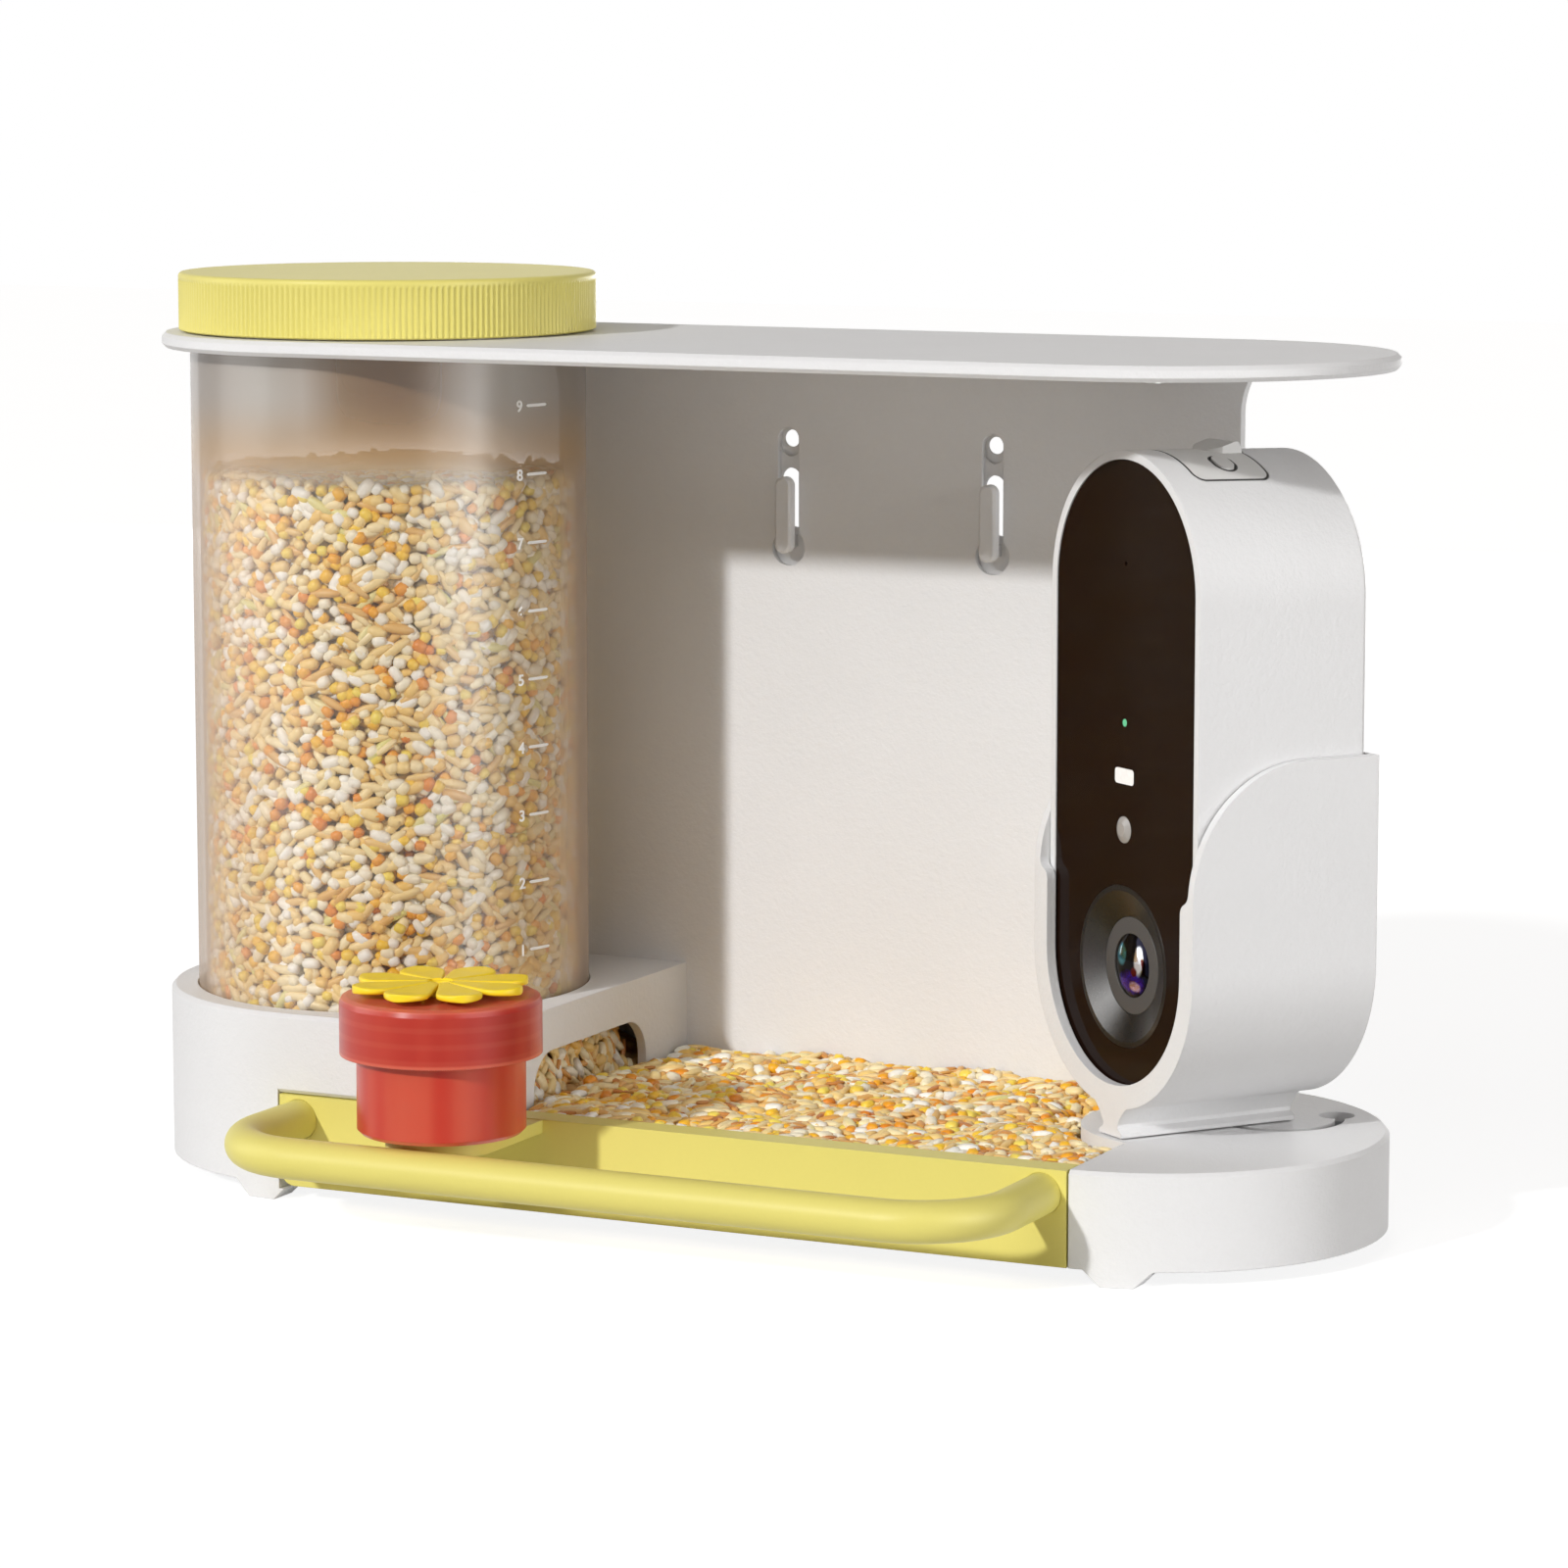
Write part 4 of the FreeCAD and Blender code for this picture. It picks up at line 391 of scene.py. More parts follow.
@dataclass(frozen=True)
class Tinted(Finish):
    """Dyed see-through plastic with painted light: upright pale streaks and a paler tone toward a grazing
    view are painted highlights, a band at each given rim height is painted paler as painted rim light, and
    the thread shows through where the wall is threaded."""

    deep: Colour
    # Colour of the painted highlights.
    pale: Colour
    cover: float
    rims: tuple[float, ...]
    threaded: tuple[float, float] = (0.0, 0.0)
    thread_share: float = 0.12
    pitch: float = 3.96 * MM
    # Painted rim light, also the colour of the thread that shows through.
    rim_colour: Colour = (0.70, 0.15, 0.085)
    rim_width: float = 1.1 * MM
    rim_share: float = 0.75
    roughness: float = 0.3
    streaks: float = 75.0
    streak_stretch: float = 0.05
    streak_range: tuple[float, float] = (0.35, 0.68)
    groove_range: tuple[float, float] = (0.1, 0.9)
    pale_mix: tuple[float, float] = (0.7, 0.3)
    grain: float = 1500.0
    swing: float = 0.06

    def lay(self, paint: Paint) -> None:
        """Lay out the streaks, the thread and the rims over one another.

        Args:
            paint: node tree of the material.
        """
        height = paint.height()
        highlight_strand = paint.noise(paint.place((1.0, 1.0, self.streak_stretch)), self.streaks)
        fine = paint.noise(paint.place(), self.grain)
        slant = paint.slant(0.4)
        # Upright pale streaks and a paler tone toward a grazing view are painted highlights.
        streak = paint.step(highlight_strand, *self.streak_range)
        share = streak * self.pale_mix[0] + slant * self.pale_mix[1]
        tone = paint.mix(self.deep, self.pale, share)
        low, high = self.threaded
        inside = paint.step(height, low, low + MM) * (1.0 - paint.step(height, high - MM, high))
        wave = paint.math("SINE", height * (FULL_TURN / self.pitch))
        groove = paint.step(wave, *self.groove_range)
        tone = paint.mix(tone, self.rim_colour, inside * groove * self.thread_share)
        # Painted rim light: a paler band at each given rim height.
        for rim in self.rims:
            off = paint.math("ABSOLUTE", height - rim)
            share = (1.0 - paint.step(off, 0.4 * self.rim_width, self.rim_width)) * self.rim_share
            tone = paint.mix(tone, self.rim_colour, share)
        paint.coat({
            "Base Color": tone,
            "Roughness": self.roughness + fine * self.swing,
            "Alpha": self.cover + slant * (1.0 - self.cover),
            "Normal": paint.bump(fine, 0.01 * MM, paint.soft_edge(0.4 * MM)),
            "Subsurface Weight": 0.25,
            "Subsurface Radius": (4.0 * MM, 0.6 * MM, 0.4 * MM),
            "Subsurface Scale": 1.0,
            "Specular IOR Level": 0.15,
            "Coat Weight": 0.35,
            "Coat Roughness": 0.22,
        })


@dataclass(frozen=True)
class SeedCoat(Finish):
    """Dry seed: each grain takes its own tone from the ramp, with faint streaks and a browner tip."""

    stops: Stops
    streak: Colour = (0.48, 0.26, 0.09)
    tip: Colour = (0.34, 0.16, 0.05)
    streak_share: float = 0.55
    tip_share: float = 0.5
    tip_power: float = 3.0
    roughness: float = 0.38
    swing: float = 0.2
    flecks: float = 900.0

    def lay(self, paint: Paint) -> None:
        """Lay out the coat, its streaks and its tip.

        Args:
            paint: node tree of the material.
        """
        fleck = paint.noise(paint.place(), self.flecks, 3.0)
        plain = paint.ramp(paint.mark(GRAIN_TONE), self.stops)
        streaked = paint.mix(plain, self.streak, (fleck - 0.5) * self.streak_share)
        tip = paint.mark(GRAIN_END) ** self.tip_power * self.tip_share
        paint.coat({
            "Base Color": paint.mix(streaked, self.tip, tip),
            "Roughness": self.roughness + (fleck - 0.5) * self.swing,
            "Normal": paint.bump(fleck, 0.06 * MM),
            "Specular IOR Level": 0.4,
        })


@dataclass(frozen=True)
class SeedBed(Finish):
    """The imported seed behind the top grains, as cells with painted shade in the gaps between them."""

    stops: Stops
    cell: float = 2.6 * MM
    stretch: Place = (1.0, 0.7, 1.2)
    gap_colour: Colour = (0.30, 0.12, 0.03)
    gap_depth: float = 0.5 * MM
    roughness: float = 0.6
    swing: float = 0.2

    def lay(self, paint: Paint) -> None:
        """Lay out the cells.

        Args:
            paint: node tree of the material.
        """
        cells = {"Vector": paint.place(self.stretch), "Scale": 1.0 / self.cell}
        tint = paint.add("ShaderNodeTexVoronoi", None, cells, output="Color")
        gap = paint.add("ShaderNodeTexVoronoi", None, cells, output="Distance")
        pick = paint.add("ShaderNodeSeparateColor", None, {"Color": tint})
        paint.coat({
            # Painted shade darkens the gaps between cells.
            "Base Color": paint.mix(paint.ramp(pick, self.stops), self.gap_colour, gap ** 2.0),
            "Roughness": self.roughness + gap * self.swing,
            "Normal": paint.bump(1.0 - gap, self.gap_depth),
        })


@dataclass(frozen=True)
class Polished(Finish):
    """Polished sheet, glass or metal with a very faint ripple in its gloss."""

    colour: Colour
    roughness: float
    metal: float = 0.0
    specular: float = 0.35
    brush: float = 0.0
    clouds: float = 30.0
    mottle: float = 0.2
    swing: float = 0.04

    def lay(self, paint: Paint) -> None:
        """Lay out a cloudy colour under a rippled gloss.

        Args:
            paint: node tree of the material.
        """
        spot = paint.place()
        fine = paint.noise(spot, FINE_RIPPLE)
        cloud = paint.noise(spot, self.clouds)
        deep, pale = (shaded(self.colour, 1.0 + change) for change in (-self.mottle, self.mottle))
        paint.coat({
            "Base Color": paint.mix(deep, pale, cloud),
            "Roughness": self.roughness + fine * (self.swing + self.brush),
            "Metallic": self.metal,
            "Specular IOR Level": self.specular,
            "Normal": paint.bump(fine, 0.002 * MM, paint.soft_edge(0.2 * MM)),
        })


@dataclass(frozen=True)
class CoatPatch:
    """A painted reflection on the lens, as a spot of colour: an ellipse's middle and half sizes in shares of
    the lens radius.
    """

    across: float
    up: float
    half_width: float
    half_height: float
    colour: Colour


@dataclass(frozen=True)
class LensCoat(Finish):
    """Coated lens, near black, with painted reflections: spots of violet, blue, teal and white where the
    coating shines, and a dark red-brown spot.
    """

    mount: Mount
    level: float
    radius: float
    dark: Colour = (0.006, 0.006, 0.012)
    smears: float = 500.0
    smear_share: float = 0.5
    patch_core: float = 0.25
    roughness: float = 0.05
    swing: float = 0.05
    # Painted reflections: violet and blue spots low down, teal at the upper left, a white crescent at the
    # right and a dark red-brown spot.
    patches: tuple[CoatPatch, ...] = (
        CoatPatch(0.10, -0.50, 0.75, 0.42, (0.07, 0.025, 0.80)),
        CoatPatch(0.30, -0.62, 0.34, 0.20, (0.60, 0.48, 1.0)),
        CoatPatch(-0.45, 0.32, 0.34, 0.40, (0.12, 0.46, 0.62)),
        CoatPatch(-0.50, 0.42, 0.14, 0.18, (0.55, 0.80, 0.85)),
        CoatPatch(0.52, 0.20, 0.26, 0.55, (0.82, 0.84, 0.88)),
        CoatPatch(0.30, -0.16, 0.20, 0.18, (0.16, 0.012, 0.01)),
    )

    def lay(self, paint: Paint) -> None:
        """Lay the painted reflections over one another.

        Args:
            paint: node tree of the material.
        """
        x, _, z = paint.mounted(self.mount)
        across = x * (1.0 / self.radius)
        up = (z - self.level) * (1.0 / self.radius)
        smear = paint.noise(paint.place(), self.smears)
        coat = self.dark
        for reflection in self.patches:
            wide = (across - reflection.across) * (1.0 / reflection.half_width)
            tall = (up - reflection.up) * (1.0 / reflection.half_height)
            reach = wide ** 2.0 + tall ** 2.0 + (smear - 0.5) * self.smear_share
            coat = paint.mix(coat, reflection.colour, 1.0 - paint.step(reach, self.patch_core, 1.0))
        gloss = self.roughness + smear * self.swing
        paint.coat({"Base Color": coat, "Roughness": gloss, "Metallic": 1.0})


@dataclass(frozen=True)
class TurnedMetal(Finish):
    """Dark turned metal with painted highlights: wedge-shaped bands of light, as a ramp round the lens axis,
    stand for what its fine grooves throw.
    """

    mount: Mount
    level: float
    # Painted highlights round the lens axis: brightest low at the left and low at the right, darker
    # elsewhere.
    wedges: Stops = toned(
        (0.0, 0.065), (0.12, 0.10), (0.2, 0.05), (0.26, 0.03), (0.33, 0.05),
        (0.38, 0.12), (0.45, 0.04), (0.72, 0.045), (0.86, 0.05), (1.0, 0.065), tint=(1.0, 0.985, 0.965))
    roughness: float = 0.24
    swing: float = 0.1

    def lay(self, paint: Paint) -> None:
        """Lay the painted highlights round the lens axis.

        Args:
            paint: node tree of the material.
        """
        x, _, z = paint.mounted(self.mount)
        turn = paint.math("ARCTAN2", z - self.level, x) * (1.0 / FULL_TURN) + 0.5
        paint.coat({
            "Base Color": paint.ramp(turn, self.wedges),
            "Roughness": self.roughness + paint.noise(paint.place(), FINE_RIPPLE) * self.swing,
            "Metallic": 1.0,
            "Normal": paint.soft_edge(0.2 * MM),
        })


@dataclass(frozen=True)
class PortCover(Finish):
    """Soft cover with painted shade: dark lines along its rounded edge and round the two buttons stand for
    the shade in the gap about the cover and in the button openings. Its places and sizes are those of the
    cover and the buttons along the camera's own axes."""

    mount: Mount
    colour: Colour = RUBBER_WHITE
    # Colour of the painted shade in the gaps.
    dark: Colour = (0.02, 0.019, 0.018)
    half: tuple[float, float] = (19.0 * MM, 10.65 * MM)
    middle: float = -26.55 * MM
    corner: float = 3.0 * MM
    line: float = 0.55 * MM
    line_range: tuple[float, float] = (-1.2, -0.8)
    button: tuple[float, float] = (12.0 * MM, -25.7 * MM)
    button_half: tuple[float, float] = (3.1 * MM, 2.3 * MM)
    ring: float = 0.85 * MM
    ring_range: tuple[float, float] = (0.85, 1.1)
    grain: float = 2000.0
    mottle: float = 0.05
    roughness: float = 0.55
    swing: float = 0.1

    def lay(self, paint: Paint) -> None:
        """Lay out the lines from the distance to a rounded rectangle and to two round-ended slots.

        Args:
            paint: node tree of the material.
        """
        x, y, _ = paint.mounted(self.mount)
        side = paint.math("ABSOLUTE", x)
        along = side - (self.half[0] - self.corner)
        across = paint.math("ABSOLUTE", y - self.middle) - (self.half[1] - self.corner)
        inside = paint.math("MINIMUM", paint.math("MAXIMUM", along, across), 0.0)
        edge = self.reach(paint, along, across) + inside - self.corner
        # Painted shade along the gap round the cover.
        seam_shade = paint.step(edge, *(share * self.line for share in self.line_range))
        off = paint.math("ABSOLUTE", side - self.button[0]) - (self.button_half[0] - self.button_half[1])
        gap = self.reach(paint, off, paint.math("ABSOLUTE", y - self.button[1])) - self.button_half[1]
        # Painted shade in the openings round the two buttons.
        opening_shade = 1.0 - paint.step(gap, *(share * self.ring for share in self.ring_range))
        grain = paint.noise(paint.place(), self.grain, 3.0)
        pale = paint.mix(shaded(self.colour, 1.0 - self.mottle), self.colour, grain)
        paint.coat({
            "Base Color": paint.mix(pale, self.dark, paint.math("MAXIMUM", seam_shade, opening_shade)),
            "Roughness": self.roughness + grain * self.swing,
            "Normal": paint.bump(grain, 0.02 * MM),
        })

    def reach(self, paint: Paint, first: Wire, second: Wire) -> Wire:
        """Length of the part of two distances that lies above zero."""
        above = [paint.math("MAXIMUM", distance, 0.0) for distance in (first, second)]
        return (above[0] * above[0] + above[1] * above[1]) ** 0.5


@dataclass(frozen=True)
class LampWindow(Finish):
    """Moulded light window or indicator that glows a little."""

    colour: Colour
    strength: float
    clouds: float = 900.0
    mottle: float = 0.15
    roughness: float = 0.2
    swing: float = 0.1

    def lay(self, paint: Paint) -> None:
        """Lay out a faintly cloudy colour that also glows.

        Args:
            paint: node tree of the material.
        """
        cloud = paint.noise(paint.place(), self.clouds)
        tint = paint.mix(shaded(self.colour, 1.0 - self.mottle), self.colour, cloud)
        paint.coat({
            "Base Color": tint,
            "Roughness": self.roughness + cloud * self.swing,
            "Emission Color": tint,
            "Emission Strength": self.strength,
        })


@dataclass(frozen=True)
class BoardMask(Finish):
    """Circuit board with lacquer over faint tracks."""

    colour: Colour
    track: Colour
    tracks: float = 260.0
    track_width: float = 0.03
    roughness: float = 0.3
    swing: float = 0.1

    def lay(self, paint: Paint) -> None:
        """Lay out the tracks along the camera's own axes.

        Args:
            paint: node tree of the material.
        """
        spot = paint.place(turn=math.radians(-Mount.turn))
        sockets = {"Vector": spot, "Scale": self.tracks, "Mortar Size": self.track_width}
        lines = paint.add("ShaderNodeTexBrick", None, sockets, output="Fac")
        tint = paint.mix(self.colour, self.track, lines)
        paint.coat({"Base Color": tint, "Roughness": self.roughness + lines * self.swing})


@dataclass(frozen=True)
class PaleFloor(Finish):
    """Floor that stays white in the light and keeps the shadow: what is seen is a darker floor with a glow,
    and what lights the feeder is a plain pale one."""

    tone: float
    shown_tone: float
    glow: float
    wander: float = 0.02
    clouds: float = 6.0

    def lay(self, paint: Paint) -> None:
        """Lay out the lighting floor and the shown floor.

        Args:
            paint: node tree of the material.
        """
        cloud = paint.noise(paint.place(), self.clouds)
        plain, shown = (
            paint.matt(paint.mix((tone,) * 3, (tone + self.wander,) * 3, cloud))
            for tone in (self.tone, self.shown_tone))
        glow = paint.add("ShaderNodeEmission", None, {"Color": WHITE, "Strength": self.glow})
        lit = paint.add("ShaderNodeAddShader", None, {0: shown, 1: glow})
        paint.output(paint.blend(paint.seen(), plain, lit))


@dataclass
class Surface:
    """Points with four-sided and three-sided faces, and a value per point for each attribute."""

    points: np.ndarray
    quads: np.ndarray
    tris: np.ndarray
    marks: dict[str, np.ndarray] = field(default_factory=dict)

    def outward(self) -> "Surface":
        """Turn all faces over where the enclosed volume, summed over their triangles, is negative.

        Returns:
            The surface itself.
        """
        corners = np.concatenate([self.quads[:, [0, 1, 2]], self.quads[:, [0, 2, 3]], self.tris])
        a, b, c = (self.points[corners[:, k]] for k in range(3))
        if np.einsum("ij,ij->i", a - self.points.mean(0), np.cross(b - a, c - a)).sum() < 0.0:
            self.quads = self.quads[:, ::-1]
            self.tris = self.tris[:, ::-1]
        return self

    def moved(self, place: Callable[[np.ndarray], np.ndarray]) -> "Surface":
        """The same faces with every point mapped by a function."""
        return Surface(place(self.points), self.quads, self.tris, self.marks)

    def shifted(self, offset: np.ndarray) -> "Surface":
        """The same surface moved by a vector."""
        return self.moved(lambda points: points + offset)

    def piece(self, name: str, material: bpy.types.Material, crease: float = 40.0) -> bpy.types.Object:
        """Make the Blender object.

        Args:
            name: name of the piece.
            material: its finish.
            crease: faces that meet at more than this angle, in degrees, keep a sharp edge.

        Returns:
            The object, at the origin, with its place in its mesh.
        """
        mesh = bpy.data.meshes.new(name)
        loops = np.concatenate([self.quads.ravel(), self.tris.ravel()]).astype(np.int32)
        quad_starts = np.arange(len(self.quads)) * 4
        tri_starts = len(self.quads) * 4 + np.arange(len(self.tris)) * 3
        starts = np.concatenate([quad_starts, tri_starts]).astype(np.int32)
        mesh.vertices.add(len(self.points))
        mesh.vertices.foreach_set("co", self.points.astype(np.float32).ravel())
        mesh.loops.add(len(loops))
        mesh.loops.foreach_set("vertex_index", loops)
        mesh.polygons.add(len(starts))
        mesh.polygons.foreach_set("loop_start", starts)
        mesh.update(calc_edges=True)
        mesh.validate()
        mesh.shade_smooth()
        mesh.set_sharp_from_angle(angle=math.radians(crease))
        for mark, values in self.marks.items():
            layer = mesh.attributes.new(mark, "FLOAT", "POINT")
            layer.data.foreach_set("value", values.astype(np.float32))
        mesh.materials.append(material)
        item = bpy.data.objects.new(name, mesh)
        bpy.context.scene.collection.objects.link(item)
        return item


def joined(parts: Sequence[Surface]) -> Surface:
    """Put several surfaces into one, each part's faces counted on from the points before it.

    Args:
        parts: surfaces with the same attributes.

    Returns:
        One surface of all the parts.
    """
    starts = np.cumsum([0] + [len(part.points) for part in parts[:-1]])
    return Surface(
        np.concatenate([part.points for part in parts]),
        np.concatenate([part.quads + start for part, start in zip(parts, starts)]),
        np.concatenate([part.tris + start for part, start in zip(parts, starts)]),
        {name: np.concatenate([part.marks[name] for part in parts]) for name in parts[0].marks},
    )


def grid_quads(rows: int, columns: int, wrap_columns: bool, wrap_rows: bool = False) -> np.ndarray:
    """Faces of a grid of points in row order: each point with its right, upper right and upper neighbour.

    Args:
        rows: rows of points.
        columns: points in each row.
        wrap_columns: whether the last column joins the first.
        wrap_rows: whether the last row joins the first.

    Returns:
        Four point numbers for each face.
    """
    index = np.arange(rows * columns).reshape(rows, columns)
    right = np.roll(index, -1, axis=1)
    corners = np.stack([index, right, np.roll(right, -1, axis=0), np.roll(index, -1, axis=0)], axis=-1)
    return corners[:rows - (not wrap_rows), :columns - (not wrap_columns)].reshape(-1, 4)


def around(count: int) -> np.ndarray:
    """Angles of points spaced evenly round a circle."""
    return np.arange(count) * FULL_TURN / count


def radial(angle: np.ndarray) -> np.ndarray:
    """Level unit vectors at angles from the X axis."""
    return np.stack([np.cos(angle), np.sin(angle), np.zeros_like(angle)], axis=1)


def ringed(reach: np.ndarray, level: np.ndarray) -> np.ndarray:
    """Points of a stack of rings about Z: the reach times cosine and sine of the angle, and the level.

    Args:
        reach: distance from the axis, as rows by columns.
        level: height of each row, or of each point.

    Returns:
        Points as rows by columns by three.
    """
    angle = around(reach.shape[1])
    height = np.broadcast_to(level, reach.shape)
    return np.stack([reach * np.cos(angle), reach * np.sin(angle), height], axis=-1)


def capped(rings: np.ndarray) -> Surface:
    """Close a stack of rings: the rings make a wrapped grid, and the mean point of the first and the last
    ring is the pole of a fan that closes each end.

    Args:
        rings: points as rows by columns by three.

    Returns:
        The closed surface, facing outwards.
    """
    rows, columns, _ = rings.shape
    points = np.concatenate([rings.reshape(-1, 3), rings[:1].mean(1), rings[-1:].mean(1)])
    first = np.arange(columns)
    after = np.roll(first, -1)
    low = np.full(columns, rows * columns)
    last = (rows - 1) * columns
    fans = np.concatenate([
        np.stack([low, after, first], axis=1),
        np.stack([low + 1, last + first, last + after], axis=1),
    ])
    return Surface(points, grid_quads(rows, columns, True), fans).outward()


def revolved(profile: np.ndarray, columns: int,
             dent: Optional[Callable[[np.ndarray, np.ndarray], np.ndarray]] = None) -> Surface:
    """Turn an open profile about Z: each profile point goes round a circle of its radius at its height, and
    a dent, as a function of row and angle, is added to the radius.

    Args:
        profile: radius and height of each profile point.
        columns: points in each circle.
        dent: change of radius by profile row and angle.

    Returns:
        The surface, closed at both ends.
    """
    reach = np.repeat(profile[:, :1], columns, axis=1)
    if dent is not None:
        reach = reach + dent(np.arange(len(profile))[:, None], around(columns)[None, :])
    return capped(ringed(reach, profile[:, 1:2]))


def ring_turned(profile: np.ndarray, columns: int) -> Surface:
    """Turn a closed profile about Z into a ring, with the last profile point joined to the first.

    Args:
        profile: radius and height of each profile point.
        columns: points in each circle.

    Returns:
        The closed ring.
    """
    points = ringed(np.repeat(profile[:, :1], columns, axis=1), profile[:, 1:2])
    return Surface(points.reshape(-1, 3), grid_quads(len(profile), columns, True, True), NO_TRIS).outward()


def swept(path: np.ndarray, side: np.ndarray, rise: np.ndarray, outline: np.ndarray,
          width: np.ndarray, depth: np.ndarray) -> Surface:
    """Carry an outline along a path: the outline's two axes lie along the side and rise directions of each
    path point, scaled by its width and depth.

    Args:
        path: points of the path.
        side: unit vectors across the path.
        rise: unit vectors out of the path.
        outline: closed outline of unit size as pairs.
        width: scale across, per path point.
        depth: scale outwards, per path point.

    Returns:
        The closed surface.
    """
    across = outline[None, :, 0, None] * (width[:, None] * side)[:, None, :]
    out = outline[None, :, 1, None] * (depth[:, None] * rise)[:, None, :]
    return capped(path[:, None, :] + across + out)


def rounded_square(count: int, power: float) -> np.ndarray:
    """Outline of a square with round corners: cosine and sine of the angle, each raised to a power below
    one and keeping its sign.

    Args:
        count: points of the outline.
        power: one for a circle, less for squarer corners.

    Returns:
        The outline as pairs, of unit half size.
    """
    angle = around(count)
    circle = np.stack([np.cos(angle), np.sin(angle)], axis=1)
    return np.sign(circle) * np.abs(circle) ** power


def box_of(node: str) -> tuple[np.ndarray, np.ndarray]:
    """Lowest and highest corner of a CAD node as arrays."""
    low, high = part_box(node)
    return np.array(low), np.array(high)


def axis_of(node: str) -> np.ndarray:
    """Middle of a CAD node in plan, at height zero."""
    low, high = box_of(node)
    return (low + high) / 2.0 * (1.0, 1.0, 0.0)


def radius_of(node: str) -> float:
    """Half the width of a CAD node."""
    low, high = box_of(node)
    return (high[0] - low[0]) / 2.0


def dress(node: str, material: bpy.types.Material) -> None:
    """Give a CAD node its finish.

    Args:
        node: name of the node.
        material: its finish.
    """
    materials = frame["nodes"][node].data.materials
    materials.clear()
    materials.append(material)
    log.info("node %s takes %s", node, material.name)


def ride(item: bpy.types.Object, body: str, stands_for: Sequence[str] = ()) -> None:
    """Fix a piece to a body and hide the nodes it stands for.

    Args:
        item: the piece.
        body: body that carries it.
        stands_for: CAD nodes that it replaces.
    """
    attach(item, body)
    if stands_for:
        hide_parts(*stands_for)
    log.info("piece %s on %s, %d faces", item.name, body, len(item.data.polygons))


@dataclass(frozen=True)
class Thread:
    """A screw thread: its pitch and its ridge's height and width."""

    pitch: float
    height: float
    width: float
    steps: int = 90
    run_out: float = 6.0
    end_share: float = 0.02
    outline: tuple[int, float] = (10, 0.9)

    def ridge(self, axis: np.ndarray, radius: float, low: float, high: float) -> Surface:
        """Ridge: a rounded outline carried along a helix, fading to nothing at both ends.

        Args:
            axis: middle of the helix in plan.
            radius: radius of the wall it stands on.
            low: height of its lower end.
            high: height of its upper end.

        Returns:
            The closed surface.
        """
        turns = (high - low) / self.pitch
        share = np.linspace(0.0, 1.0, int(self.steps * turns))
        out = radial(share * turns * FULL_TURN)
        path = out * radius
        path[:, 2] = low + share * (high - low)
        fade = np.clip(np.minimum(share, 1.0 - share) * self.run_out * turns, self.end_share, 1.0)
        up = np.tile(Z_AXIS, (len(share), 1))
        outline = rounded_square(*self.outline)
        ridge = swept(path, up, out, outline, fade * self.width / 2.0, fade * self.height)
        return ridge.shifted(axis)


class GrainShape(Enum):
    """Shapes of seed: length, width and thickness in millimetres, and how pointed the ends are."""

    ROUND = (3.5, 3.2, 2.9, 0.5)
    OVAL = (5.3, 3.2, 2.4, 0.6)
    LONG = (8.2, 2.6, 2.0, 0.8)
    FLAT = (6.0, 2.3, 1.3, 0.75)


class GrainCoat(Enum):
    """Coats of seed in the mix, each with the tones that its grains take."""

    PALE = SeedCoat("pale_seed", (
        (0.0, (0.90, 0.57, 0.13)), (0.28, (0.94, 0.74, 0.34)), (0.52, (0.96, 0.86, 0.58)),
        (0.75, (0.97, 0.93, 0.80)), (1.0, (0.97, 0.96, 0.90))))
    BRIGHT = SeedCoat("bright_seed", (
        (0.0, (0.80, 0.25, 0.015)), (0.3, (0.92, 0.44, 0.015)), (0.6, (0.95, 0.62, 0.04)),
        (1.0, (0.93, 0.76, 0.13))))
    GRAIN = SeedCoat("long_seed", (
        (0.0, (0.78, 0.46, 0.13)), (0.4, (0.92, 0.69, 0.29)), (0.8, (0.95, 0.81, 0.48)),
        (1.0, (0.74, 0.70, 0.22))))
    HUSK = SeedCoat("tray_grain", (
        (0.0, (0.52, 0.18, 0.04)), (0.25, (0.78, 0.39, 0.09)), (0.55, (0.87, 0.59, 0.21)),
        (0.85, (0.91, 0.74, 0.40)), (1.0, (0.93, 0.86, 0.62))))


Mix = Sequence[tuple[GrainCoat, GrainShape, float]]


